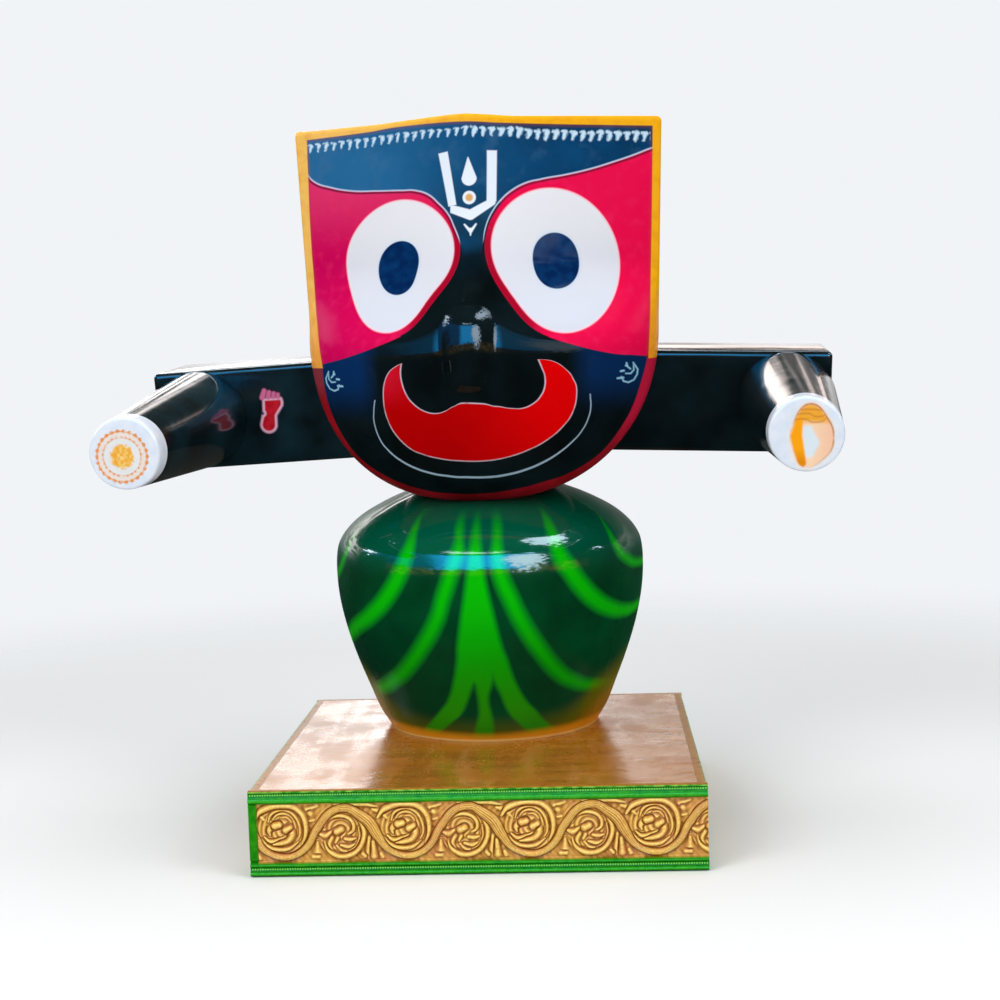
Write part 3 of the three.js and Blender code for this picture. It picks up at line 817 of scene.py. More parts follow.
    # Flourishes on the cheek corners.
    curl = flourish(Brush(f, abs(u - 2.5), v), (209, 157))
    colour = blend(curl.inside(1.6) * mottle.ramp(0.2, 0.5).times_plus(0.35, 0.55), colour, (150, 202, 226))

    # Borders: dark red round the chin, yellow-orange up the sides and along the top.
    band = -brush.outline(mouth_centre, CHIN_BAND)
    band_red = layered(
        blend(cloud.ramp(0.35, 0.65), (112, 8, 16), (142, 18, 28)),
        (u.ease(60, 220) * v.ease(20, 120), (184, 26, 58)),
        (u.ease(-190, -225) * v.ease(120, 170) * 0.6, (128, 60, 72)),
    )
    colour = blend(band.at_least(v - 178).inside(1.6), colour, band_red)
    side_edge = (u - v.along(LEFT_EDGE)).at_most(v.along(RIGHT_EDGE) - u)
    frame_edge = side_edge.at_most(u.along(TOP_EDGE) - v).at_least(176.5 - v)
    yellow = layered(
        blend(u.ease(-230, 60), (233, 182, 92), (236, 168, 24)),
        (v.ease(300, 180) * 0.6, (238, 140, 30)),
        (mottle.ramp(0.45, 0.75) * 0.35, (206, 120, 34)),
    )
    colour = layered(
        colour,
        ((frame_edge - 3).inside(5.0) * v.ramp(176, 182) * 0.3, (150, 62, 20)),
        (frame_edge.inside(1.4), yellow),
    )

    # Everything behind the face's edge is plain black enamel, with the border's paint turned over the edge.
    behind = b.ramp(-FACE_FORWARD + 7, -FACE_FORWARD + 9)
    colour = blend(behind, colour, black)
    bright = joined(crimson_place, whites, frame_edge, crescent)
    nose_black = bright.ramp(-1, 1) * v.ease(272, 244) * v.ease(-10, 110)
    near_nose = ((u + 6) * (u + 6) / 1900 + (v - 198) * (v - 198) / 4200).ease(1.35, 0.75)
    coat = nose_black * near_nose.times_plus(0.42, 0.06) + pupils.inside(1.4) * 0.05
    waves = f.noise(120, 1.0) + f.noise(22, 2.0) * 0.04
    normal = f.bump(waves, 0.35, 4.0)
    rough = mottle.times_plus(0.10, 0.12)
    return f.done(colour, rough, normal, coat=coat, coat_roughness=0.04, specular=0.008)


def flourish(brush, centre):
    """A small brushed curl: two nested bowls, a short stroke over them, and dabs towards the mouth."""
    size = 0.88
    outer = [(-12, -5), (-9, -12), (-1.5, -14.5), (7, -11), (12.4, -2.6), (13.6, 5.5), (7, 16.5)]
    inner = [(-5, 0), (2.6, -0.5), (7.6, 5), (7.4, 13)]
    over = [(-3.4, 16.5), (-1.8, 10.5), (2.2, 7)]
    dabs = [(-18, -7), (-9, -6.5)], [(-12.5, 4), (-8, 4.5)], [(-4.5, 12.5), (-2.6, 12)]
    strokes = []
    for path, width in ((outer, 2.0), (inner, 1.9), (over, 2.2), *((dab, 2.6) for dab in dabs)):
        spots = [(centre[0] + x * size, centre[1] + y * size) for x, y in path]
        strokes += [brush.segment(start, end, width) for start, end in zip(spots, spots[1:])]
    return joined(*strokes)


# The painted body. Places are degrees round from the front and millimetres above the plinth.

# Each airbrushed band's middle line and its width, of which the solid colour takes a share.
SOLID_SHARE = 0.6
BANDS = {
    "right_swag": ([(7, 345), (6.5, 310), (5.8, 290), (6.6, 255), (9.9, 220), (14.3, 182), (20.9, 143),
        (29.5, 107), (40.3, 84), (52, 73), (95, 62)], 8.0),
    "right_middle": ([(31, 345), (28, 305), (29, 273), (32, 255), (37, 229), (44, 205), (54, 187), (64, 180),
        (76, 180), (95, 190)], 9.4),
    "right_upper": ([(62, 335), (56, 302), (56.5, 278), (63.1, 257), (76, 246), (95, 244)], 5.0),
    "left_swag": ([(-9.5, 345), (-8.4, 310), (-7.8, 291), (-10.2, 260), (-13.4, 224), (-17.3, 185),
        (-23.7, 150), (-32.6, 116), (-43.8, 90), (-57, 72), (-95, 50)], 7.6),
    "left_middle": ([(-31, 340), (-28.6, 321), (-27.2, 300), (-27.7, 279), (-31, 249), (-37.4, 217),
        (-45.3, 193), (-58.3, 169), (-70, 152), (-95, 130)], 8.8),
    "left_upper": ([(-68, 330), (-63, 300), (-62.4, 286), (-66, 262), (-75, 240), (-95, 220)], 3.6),
}

# The fan of green in front and the two dark gaps in it, by height: middles and half widths in degrees.
FAN_MIDDLE = [(0, -0.5), (30, -0.7), (48, -0.2), (99, -0.7), (130, -0.95), (160, -1.65), (345, -1.75)]
FAN_HALF = [
    (0, 40), (12, 36), (30, 28), (48, 22.2), (68, 16.7), (99, 12.2), (130, 9.55), (160, 7.65), (190, 6),
    (242, 3.45), (285, 2.25), (312, 1.55), (345, 1),
]
LEFT_GAP = [(0, -21), (15, -16), (32, -11.2), (48, -7.6), (68, -5.9), (99, -4.6), (140, -4.2)]
LEFT_GAP_HALF = [(0, 12), (15, 9), (32, 6.1), (48, 3.9), (68, 2.3), (92, 0.4), (104, -1.2), (345, -1.5)]
RIGHT_GAP = [(0, 14), (15, 11), (32, 8), (48, 5.6), (68, 3.9), (99, 3.2), (140, 2.6)]
RIGHT_GAP_HALF = [
    (0, 11), (15, 8.4), (32, 5.6), (48, 3.9), (68, 3.1), (92, 0.8), (108, -0.6), (130, -1.5), (345, -1.5),
]
# How much higher the painted reflection of the gold plinth climbs the foot, by degrees round from the front.
PLINTH_REFLECTION_CLIMB = [
    (-90, -96), (-66, -70), (-54, -30), (-30, -4), (0, -2), (30, -8), (44, -24), (54, -54), (90, -100),
]


def body_finish():
    """Dark green enamel with airbrushed light green swags that fade into painted shadow under the chin, and a
    painted orange-gold reflection of the plinth round its foot.
    """
    f = Finish("painted_body_enamel", body_frame())
    x, y, z = f.axes
    radius = (x * x + y * y).math("SQRT")
    angle = (x / radius).math("ARCSINE") * (180 / math.pi)
    per_degree = BODY_RADIUS * math.pi / 180
    brush = Brush(f, angle * per_degree, z)
    cloud = f.noise(60, 2.0)
    mottle = f.noise(10, 3.0)
    colour = layered(
        blend(cloud.ramp(0.3, 0.7), (0, 56, 28), (0, 70, 36)),
        (z.ease(240, 300), (0, 84, 60)),
        (angle.ease(0, -60) * z.ease(260, 120) * 0.5, (0, 42, 28)),
    )
    green = blend(z.ease(100, 230), (6, 158, 4), (4, 184, 0))
    green = blend(z.ease(275, 315), green, (10, 150, 24))
    # The bands and the fan fade out towards the neck: painted shadow under the chin.
    clear_of_chin_shadow = z.ease(346, 312)
    for knots, width in BANDS.values():
        points = [(a * per_degree, h) for a, h in knots]
        away = abs(brush.line(points, -50 if knots[0][0] > 0 else 50)) - width * per_degree / 2 * SOLID_SHARE
        colour = blend(away.ramp(8, -7) * clear_of_chin_shadow, colour, green)
    # Olive, then orange lower down, rising highest at the sides: painted reflection of the gold plinth.
    low = z + angle.along(PLINTH_REFLECTION_CLIMB)
    colour = layered(
        colour,
        (low.ease(46, -6) * 0.85, (104, 100, 4)),
        (low.ease(0, -44) * 0.6, (176, 112, 14)),
    )
    middle = z.along(FAN_MIDDLE)
    half = z.along(FAN_HALF)
    left_gap = abs(angle - z.along(LEFT_GAP)) - z.along(LEFT_GAP_HALF)
    right_gap = abs(angle - z.along(RIGHT_GAP)) - z.along(RIGHT_GAP_HALF)
    fan = (abs(angle - middle) - half).at_least(-left_gap).at_least(-right_gap) * per_degree
    # Over the fan, an orange band and a pale line at the very foot: painted reflection of the gold plinth.
    colour = layered(
        colour,
        (fan.ramp(5, -5) * clear_of_chin_shadow, blend(z.ease(0, 150), (46, 136, 10), green)),
        ((z + abs(angle) * -0.12).ease(18, 3), (232, 148, 24)),
        (z.ramp(5, 2.5), (244, 190, 104)),
    )
    waves = f.noise(110, 1.0) + f.noise(30, 2.0) * 0.3
    normal = f.bump(waves, 0.5, 4.0)
    coat = z.ease(200, 270) * abs(angle).ease(76, 50) * 0.85
    rough = mottle.times_plus(0.08, 0.14) + abs(angle).ease(50, 72) * 0.26
    return f.done(colour, rough, normal, coat=coat, specular=0.06)


def arm_finish(name, droop, side):
    """Black enamel on an arm, with a white painted end and the sign on it."""
    f = Finish(name, arm_frame(droop))
    x, y, z = f.axes
    cloud, mottle = f.noise(80, 2.0), f.noise(12, 3.0)
    tint = (14, 30, 34) if side > 0 else (18, 42, 50)
    colour = blend(cloud.ramp(0.35, 0.7), (8, 15, 17), tint)
    disc = Brush(f, x - ARM_REACH * side, z)
    on_forearm = y.ramp(-FOREARM_LENGTH + 28.6, -FOREARM_LENGTH + 27.4)
    white = blend(mottle.ramp(0.3, 0.7), (214, 224, 238), (228, 232, 242))
    colour = blend(on_forearm, colour, white)
    flat = y.ramp(-FOREARM_LENGTH + 4, -FOREARM_LENGTH + 3)
    sign = conch_sign if side > 0 else wheel_sign
    colour = blend(flat, colour, sign(f, disc, white, mottle))
    if side < 0:
        colour = footprint(f, x, y, z, colour, mottle)
    waves = f.noise(120, 1.0) + f.noise(34, 2.0, stretch=(1, 0.7, 1)) * 0.5
    normal = f.bump(waves, 0.5, 4.0)
    beam_front = y.ease(-22, -8) * z.ease(71, 60)
    coat = beam_front.times_plus(-0.46, 0.6)
    rough = mottle.times_plus(0.10, 0.10)
    return f.done(colour, rough, normal, coat=coat, coat_roughness=0.05, specular=0.08)


def wheel_sign(f, disc, white, mottle):
    """A notched ring of two orange lines round a mottled orange-yellow flower."""
    radius, angle = disc.polar((-3.5, -3.5))
    around = angle * (math.pi / 180)
    teeth = (around * 26.0).math("SINE")
    colour = blend((radius - 26).inside(3) * 0.6, white, (226, 224, 218))
    band = abs(radius - 29.5) - 4.6
    colour = blend(band.inside(3) * 0.5, colour, (238, 208, 178))
    outer = abs(radius - teeth.times_plus(0.3, 33.2)) - teeth.times_plus(0.8, 1.5)
    inner = abs(radius - teeth.times_plus(-0.3, 25.2)) - teeth.times_plus(-0.5, 0.8)
    specks = f.noise(4, 2.0)
    colour = blend(outer.at_most(inner).inside(2.2) * specks.ramp(0.3, 0.5), colour, (226, 140, 64))
    flower = radius + specks.times_plus(-6.0, -12.0)
    colour = layered(
        colour,
        (flower.inside(3), (240, 196, 104)),
        (flower.inside(6) * specks.ramp(0.42, 0.56), (236, 168, 62)),
    )
    return blend((radius - 5).inside(5) * specks.ramp(0.6, 0.4), colour, (242, 206, 130))


CONCH_OUTLINE = [
    (5, 38), (-5, 34.5), (-12, 25), (-16.5, 14), (-20, 2), (-19.5, -12), (-15.5, -25), (-11, -36),
    (-2, -41.5), (8, -40), (18, -34), (28, -23), (33, -9), (31.5, 7), (24.5, 21), (15.5, 32.5),
]


def conch_sign(f, disc, white, mottle):
    """An upright shell with an orange crown and lip, a peach body and a white mouth."""
    outline = disc.outline((4, -2), CONCH_OUTLINE, 6)
    mouth = disc.segment((1, 5), (6, -11), 12, 19).at_most(disc.segment((6, -11), (4, -23), 19, 12))
    lip = joined(
        disc.segment((-10, 17), (-13, -3), 9, 14), disc.segment((-13, -3), (-9.5, -19), 14, 13),
        disc.segment((-9.5, -19), (-5, -36), 13, 10),
    )
    colour = layered(
        blend((outline - 3).inside(5) * 0.5, white, (244, 222, 198)),
        (outline.inside(1.6), (246, 210, 176)),
        ((disc.across - 14).ramp(-8, 14) * outline.inside(2) * 0.7, (242, 188, 158)),
    )
    crown = outline.at_least(disc.up.times_plus(-1.0, 15))
    colour = layered(
        colour,
        (crown.inside(7), (238, 166, 52)),
        (mouth.inside(4), (216, 228, 236)),
    )
    lip_paint = blend(disc.up.ramp(-18, -34), (250, 162, 18), (226, 136, 10))
    colour = blend(lip.at_least(outline).inside(2.5), colour, lip_paint)
    edge = (abs(outline) - 0.8).inside(2.2) * mottle.ramp(0.2, 0.5) * (disc.across + disc.up).ramp(-40, 30)
    colour = blend(edge, colour, (176, 104, 58))
    for knots in ([(-17, 15), (-4, 19), (8, 15), (22, 21)], [(-15, 21), (0, 26), (12, 22), (22, 27)],
                  [(-12, 29), (2, 31), (16, 30)]):
        whorl = (abs(disc.line(knots, 0)) - 1.0).at_least(outline)
        colour = blend(whorl.inside(2) * 0.7, colour, (198, 126, 54))
    return colour


def footprint(f, x, y, z, colour, mottle):
    """A red sole with pink toes and a pale outline, painted on the front of the beam."""
    foot = Brush(f, x, z)
    heel = foot.segment((-331, -14), (-328, 2), 19, 15)
    ball = foot.segment((-328, 2), (-322, 18), 15, 25)
    sole = heel.at_most(ball).at_least(z - 22).at_least(-foot.dot((-339, 3.5), 6))
    toes = joined(
        foot.segment((-337, 27), (-333, 37), 8, 7), foot.segment((-328, 27), (-326, 34), 7),
        foot.segment((-320.5, 27), (-319, 32), 6.5), foot.segment((-313.5, 26), (-313, 30), 6),
    )
    front = y.ramp(1.5, 0.5) * y.ramp(-1.5, -0.5)
    colour = layered(
        colour,
        ((sole - 3.6).inside(3) * front, (222, 170, 196)),
        (toes.inside(2.5) * front, (206, 104, 146)),
    )
    red = blend(mottle.ramp(0.35, 0.65), (172, 18, 34), (196, 30, 44))
    return blend(sole.inside(2) * front, colour, red)


# Plinth: brushed gold-brown paint under varnish.

def plinth_finish():
    """Gold-brown paint brushed on in two directions, under an uneven varnish."""
    f = Finish("plinth_gold_brown")
    strokes = f.noise(34, 4.0, 0.6, stretch=(0.25, 1.6, 1))
    cross = f.noise(60, 3.0, 0.6, stretch=(1.6, 0.3, 1))
    swell = f.noise(100, 3.0, 0.6)
    colour = layered(
        blend(strokes.ramp(0.3, 0.7), (148, 92, 20), (178, 116, 42)),
        (cross.ramp(0.5, 0.75) * 0.5, (206, 142, 84)),
        (swell.ramp(0.42, 0.62) * 0.5, (168, 94, 34)),
    )
    patchy = (swell * 0.6 + cross * 0.4).ramp(0.44, 0.58)
    coat = patchy.times_plus(-0.5, 0.8) * f.axes[0].ease(170, 20).times_plus(0.5, 0.5)
    normal = f.bump(strokes * 0.10 + cross * 0.08 + swell * 2.0, 0.6, 2.6)
    rough = strokes.times_plus(0.16, 0.10) + patchy * 0.14
    return f.done(colour, rough, normal, coat=coat, coat_roughness=0.18, specular=0.25)


# Border strips: a pressed moulding with a running scroll between beaded green rails.
# The carving's strokes are centre lines with their widths and height, from the middle of the first scroll.
# Each is drawn a little fuller than its width, and the whole pattern is stretched a little upwards.

SCROLL_REPEAT, FIRST_SCROLL = 162.0, 45.0
SCROLL_RISE, SCROLL_TALL, SECOND_SCROLL = 62.2, 1.038, (73.8, -2.9)
STROKE_HALF = 0.62
TILE_STEP, TILE_FOOT, TILE_TOP = 0.6, 18.0, 98.0
VINE = [
    (-62, 17.6), (-49, 7.5), (-37.5, -11), (-26, -26), (-9, -35), (7.5, -36), (22.6, -30), (34, -19),
    (41, -6), (49.4, 6), (59.5, 17.6), (73, 25), (86, 26),
]
VINE_WIDTHS = [10.5, 12.5, 11.5, 8.5, 7.5, 7, 7, 7.5, 8, 8.5, 8.5, 8.5, 9]
SMALL_LEAVES = [
    ([(35, -17), (46, -14)], [5, 2], 3.4),
    ([(45, -17), (45, -31)], [3, 12], 4.2),
    ([(39, -36), (46, -36)], [6, 6], 4.0),
    ([(113, -12), (111, -36)], [4, 9], 4.4),
    ([(118, -18), (119, -36)], [5, 10], 5.0),
    ([(104, -33), (107, -36)], [5, 6], 4.4),
    ([(128, -33), (130, -37)], [5, 6], 4.4),
    ([(32, 25), (46, 29)], [6, 3], 4.0),
    ([(36, 20), (37, 19)], [7, 7], 4.0),
    ([(30, 9), (41, 11)], [3, 4], 3.2),
    ([(68, 31), (90, 31), (108, 31), (125, 27)], [2, 7, 7, 2], 5.0),
    ([(119, 24), (130, 20), (138, 12)], [4, 9, 3], 4.6),
]
FIRST_LEAVES = [
    ([(-13.5, 11.8), (-8.8, 17.6), (0.6, 20.2), (10, 15.9), (15.9, 5.9), (17.1, -4.7)], [2, 3.5, 4, 4, 3.4,
     1.5], 3.6),
    ([(-3, 14.6), (5.3, 15), (10.6, 10), (12, 3)], [1.5, 3.4, 3.4, 1.5], 3.4),
    ([(-19.4, 9.4), (-15.9, 18.2), (-6.5, 24), (5.3, 24.2), (15.9, 16.8), (21.4, 5.9), (22, -7.1),
     (17.1, -16.5)], [2, 3.6, 3.8, 3.8, 3.8, 3.6, 3.2, 1.5], 4.2),
    ([(-25.3, -9.4), (-18.2, -15.3), (-6.5, -14.1), (3, -9.4)], [2, 6, 6, 2], 4.0),
    ([(-29.5, -12), (-20.6, -22), (-6.5, -26), (7.6, -24.7), (19.4, -16.5)], [2, 6, 6.5, 5.5, 1.5], 4.4),
    ([(-6, 5.5), (-13, 3.2), (-18.5, -1.5), (-17, -8)], [10, 9, 7, 2], 4.8),
    ([(7.6, 1.2), (11.8, -7.1), (7.6, -14.1), (-2.9, -18), (-14, -19.5)], [11, 9, 8, 7, 2], 4.8),
    ([(-11, 4.2), (-5, 5.6)], [9, 8], 5.4),
    ([(3.6, -1.2), (9.4, 1.8)], [9, 7], 5.4),
    ([(-37, 13), (-31, 21.5), (-18.2, 27.8), (-0.6, 30.4), (15.9, 27.4), (26.3, 17.6), (30, 4.7),
     (28.8, -9.4), (24, -20)], [3, 8, 8, 8, 8, 7.5, 7, 5, 1.5], 5.3),
]
SECOND_LEAVES = [
    ([(7.6, -10.5), (14, -11.5), (22, -10)], [5, 6, 2], 4.2),
    ([(1.8, -18.5), (12, -20.8), (22.9, -16.5)], [4, 6, 2], 4.2),
    ([(-4.1, -19), (3, -25.5), (14, -26.5)], [3, 4.5, 2], 4.0),
    ([(-10, -9), (-13.5, -17), (-9, -26)], [6, 6, 2], 4.2),
    ([(-2, -9.5), (-5, -15)], [5, 4], 4.0),
    ([(-27, -3), (-18.2, -6), (-11, -1.5)], [3, 9, 4], 4.4),
    ([(-19.4, 5), (-14.7, 13.8), (-5.3, 18.6), (6.5, 18.6), (15, 14.5), (19.4, 7), (18, -0.6), (12.5, -4)],
     [2, 4.5, 5, 5, 5, 5, 4.5, 3], 5.0),
    ([(25.5, 5), (26.6, -9), (21.5, -20), (12, -26)], [2, 3, 3, 1.5], 4.0),
    ([(22, 20), (30, 9), (33, -4), (29.4, -17), (21, -27.6), (6.5, -33), (-7.6, -30.6), (-17, -22),
     (-19.6, -13)], [3, 6, 6.5, 6.5, 6.5, 7, 7, 5, 1.5], 5.1),
    ([(-3, -1), (2.6, 1.6)], [9.5, 9], 5.6),
]


def carve(high, x, y, knots, widths, height, ribs=0, count=36):
    """Lays a rounded stroke on a relief: half an ellipse across a smooth line, and a narrow groove beside it.
    The ribs are that many waves over half its width."""
    path = smooth_through(knots, count)
    wide = np.interp(np.linspace(0, 1, count), np.linspace(0, 1, len(widths)), widths) * STROKE_HALF
    a, d = path[:-1], np.diff(path, axis=0)
    px, py = x[..., None] - a[:, 0], y[..., None] - a[:, 1]
    t = np.clip((px * d[:, 0] + py * d[:, 1]) / (d**2).sum(1), 0, 1)
    away, half = np.hypot(px - t * d[:, 0], py - t * d[:, 1]), lerp(wide[:-1], wide[1:], t)
    near, outside = (away / half).min(-1), (away - half).min(-1)
    bulge = np.sqrt(np.clip(1 - near**2, 0, 1)) * (1 + 0.2 * (np.cos(near * ribs * math.pi) - 1) * (ribs > 0))
    return np.maximum(high * smoothstep(outside, -0.2, 1.3), height * bulge)


def scroll_tile(x, y):
    """The relief of one repeat: two scrolls of curled leaves, small leaves between, and the vine over all."""
    y = (y - SCROLL_RISE) / SCROLL_TALL
    second = [([(a + SECOND_SCROLL[0], b + SECOND_SCROLL[1]) for a, b in knots], *rest)
              for knots, *rest in SECOND_LEAVES]
    high = np.zeros_like(x)
    for shift in (-SCROLL_REPEAT, 0.0, SCROLL_REPEAT):
        ripples = np.cos(x * 0.7 + np.sin(y * 0.16) * 3) * np.cos(y * 0.35 + x * 0.1)
        high = np.maximum(high, 1.2 + 0.4 * ripples)
        for hand, (a, b) in ((1, (0, 0)), (-1, SECOND_SCROLL)):
            away, turn = np.hypot(x - a - shift, y - b), np.arctan2(y - b, x - a - shift)
            ribs = 2.4 + 0.9 * np.cos(2 * math.pi * (away / 6.4) - hand * 2 * turn)
            high = np.maximum(high, ribs * smoothstep(37 - away, 0, 7))
        for knots, widths, height in SMALL_LEAVES + FIRST_LEAVES + second:
            reach = [a + shift for a, b in knots]
            if max(reach) > -10 and min(reach) < SCROLL_REPEAT + 10:
                high = carve(high, x - shift, y, knots, widths, height, 1)
    whole = [(a + k * SCROLL_REPEAT, b) for k in (-1, 0, 1) for a, b in VINE]
    return carve(high, x, y, whole, VINE_WIDTHS * 3, 5.6, 5, 120)


def hollow_shade(tile):
    """How far each place stands above the average round it, so that hollows can be painted darker as shade
    and ridges lighter as highlight.
    """
    wide, mean = 5, tile
    for axis in (0, 1):
        for _ in range(2):
            mean = sum(np.roll(mean, k, axis) for k in range(-wide, wide + 1)) / (2 * wide + 1)
    return np.clip(0.5 + (tile - mean) / 3.6, 0, 1)


TILE = scroll_tile(*np.meshgrid(
    np.arange(0, SCROLL_REPEAT, TILE_STEP), np.arange(TILE_FOOT, TILE_TOP, TILE_STEP)))
SHADE = hollow_shade(TILE)


def from_tile(tile, along, up):
    """Reads a repeating tile of values at places along and up the strip, smoothly between its points."""
    u = ((along - FIRST_SCROLL) % SCROLL_REPEAT) / TILE_STEP
    w = np.clip((up - TILE_FOOT) / TILE_STEP, 0, tile.shape[0] - 1.01)
    i, j = np.floor(u).astype(int), np.floor(w).astype(int)
    n = tile.shape[1]
    low = lerp(tile[j, i % n], tile[j, (i + 1) % n], u - i)
    high = lerp(tile[j + 1, i % n], tile[j + 1, (i + 1) % n], u - i)
    return lerp(low, high, w - j)


# Each rail's section from its outer edge: distance and height.
TOP_SECTION = [
    (0, 9.6), (0.8, 11), (1.8, 11.2), (2.6, 9.4), (3, 9), (7, 9), (7.4, 9.4), (8, 10.4), (8.6, 9.6),
    (9.4, 10.8), (11.5, 11.7), (14, 11.6), (16, 10.6), (16.8, 9), (TOP_RAIL, 6),
]
BOTTOM_SECTION = [
    (0, 9.4), (1, 11), (3, 11.7), (5, 11.2), (6.4, 9.2), (7, 8.8), (11.4, 8.8), (12, 9.2), (12.8, 11),
    (14.4, 11.5), (16, 10.6), (17.4, 8.6), (BOTTOM_RAIL, 6.2),
]
TOP_BEADS, BOTTOM_BEADS = 5.0, 9.2
BEAD_MARK, END_RELIEF = 2.0, 10.4


def strip_relief(along, up):
    """The strip's outward height and its shade: rails, the plain end, and the panel with its scrolls."""
    down = BORDER_HEIGHT - up
    relief = PANEL_DEPTH + from_tile(TILE, along, up)
    relief = np.where(up < BOTTOM_RAIL, np.interp(up, *np.array(BOTTOM_SECTION).T), relief)
    relief = np.where(down < TOP_RAIL, np.interp(down, *np.array(TOP_SECTION).T), relief)
    end = (along < END_RAIL) & (up >= BOTTOM_RAIL) & (down >= TOP_RAIL)
    relief = np.where(end, END_RELIEF - 4 * smoothstep(along, END_RAIL - 2.5, END_RAIL), relief)
    return np.minimum(relief, BORDER_DEPTH), from_tile(SHADE, along, up)


def bead_rows(length):
    """Two rows of small domes in the rails' grooves: eight sides and two rings to a bead."""
    pitch, radius, floor, height = 3.3, 1.6, 8.6, 3.0
    turn = np.arange(8) * math.pi / 4
    dome = [(r * radius * math.cos(a), floor + h * height, r * radius * math.sin(a))
            for r, h in ((1.0, 0.0), (0.8, 0.62)) for a in turn]
    dome = np.array(dome + [(0, floor + height, 0)])
    faces = [[k, (k + 1) % 8, 8 + (k + 1) % 8, 8 + k] for k in range(8)]
    faces += [[8 + k, 8 + (k + 1) % 8, 16] for k in range(8)] + [list(range(7, -1, -1))]
    across = np.arange(pitch, length - pitch / 2, pitch) - length / 2
    places = [(x, 0, line) for line in (BOTTOM_BEADS, BORDER_HEIGHT - TOP_BEADS) for x in across]
    points = (np.array(places)[:, None, :] + dome).reshape(-1, 3)
    starts = range(0, len(points), len(dome))
    return points, [[corner + start for corner in face[::-1]] for start in starts for face in faces]


def strip_surface(length, column):
    """The strip's moulded front on a fine grid, closed by a flat back and plain edges."""
    lines = np.concatenate([
        np.linspace(0, BOTTOM_RAIL, 27), np.linspace(BOTTOM_RAIL + 0.4, BORDER_HEIGHT - TOP_RAIL - 0.4, 94),
        np.linspace(BORDER_HEIGHT - TOP_RAIL, BORDER_HEIGHT, 25)])
    columns, rows = int(length / column), len(lines)
    along, up = np.meshgrid(np.linspace(0, length, columns), lines, indexing="ij")
    outward, shade = strip_relief(along, up)
    face = np.stack([along - length / 2, outward, up], -1)
    back = (face * [1, 0, 1])[[0, -1]][:, [0, -1]]
    points = np.concatenate([face.reshape(-1, 3), back.reshape(-1, 3)])
    i, j = np.meshgrid(np.arange(columns - 1), np.arange(rows - 1), indexing="ij")
    quads = np.stack([i * rows + j, (i + 1) * rows + j, (i + 1) * rows + j + 1, i * rows + j + 1], -1)
    n = columns * rows
    a, b, c, d = n, n + 1, n + 2, n + 3
    first, last = list(range(rows)), list(range((columns - 1) * rows, n))
    foot, top = [k * rows for k in range(columns)], [k * rows + rows - 1 for k in range(columns)]
    edges = [[a, b, d, c], first + [b, a], last[::-1] + [c, d], foot[::-1] + [a, c], top + [d, b]]
    return points, quads.reshape(-1, 4).tolist() + edges, shade.ravel()


def make_border(name, quarter, length):
    """One strip on its side of the plinth, turned about the upright axis by quarters, with its beads."""
    points, faces, shade = strip_surface(length, 1.3 if quarter else 1.0)
    beads, bead_faces = bead_rows(length)
    faces += [[corner + len(points) for corner in face] for face in bead_faces]
    local = np.concatenate([points, beads])
    low, high = (np.array(corner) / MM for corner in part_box(name))
    turn = quarter * math.pi / 2
    s, c = math.sin(turn), math.cos(turn)
    outward, along = np.array([s, -c, 0]), np.array([c, s, 0])
    origin = (low + high) / 2 * [1, 1, 0] - outward * BORDER_DEPTH / 2 + [0, 0, low[2]]
    world = origin + local[:, :1] * along + local[:, 1:2] * outward + local[:, 2:] * [0, 0, 1]
    made = new_object(name + "_relief", world, faces)
    shade = np.concatenate([shade, np.full(len(local) - len(shade), BEAD_MARK)])
    on_strip = (local + [length / 2, 0, 0]).ravel()
    for name, kind, field, values in (("hollow_shade", "FLOAT", "value", shade),
                                      ("strip_place", "FLOAT_VECTOR", "vector", on_strip)):
        made.data.attributes.new(name, kind, "POINT").data.foreach_set(field, values)
    finish_shading(made, 60)
    return made


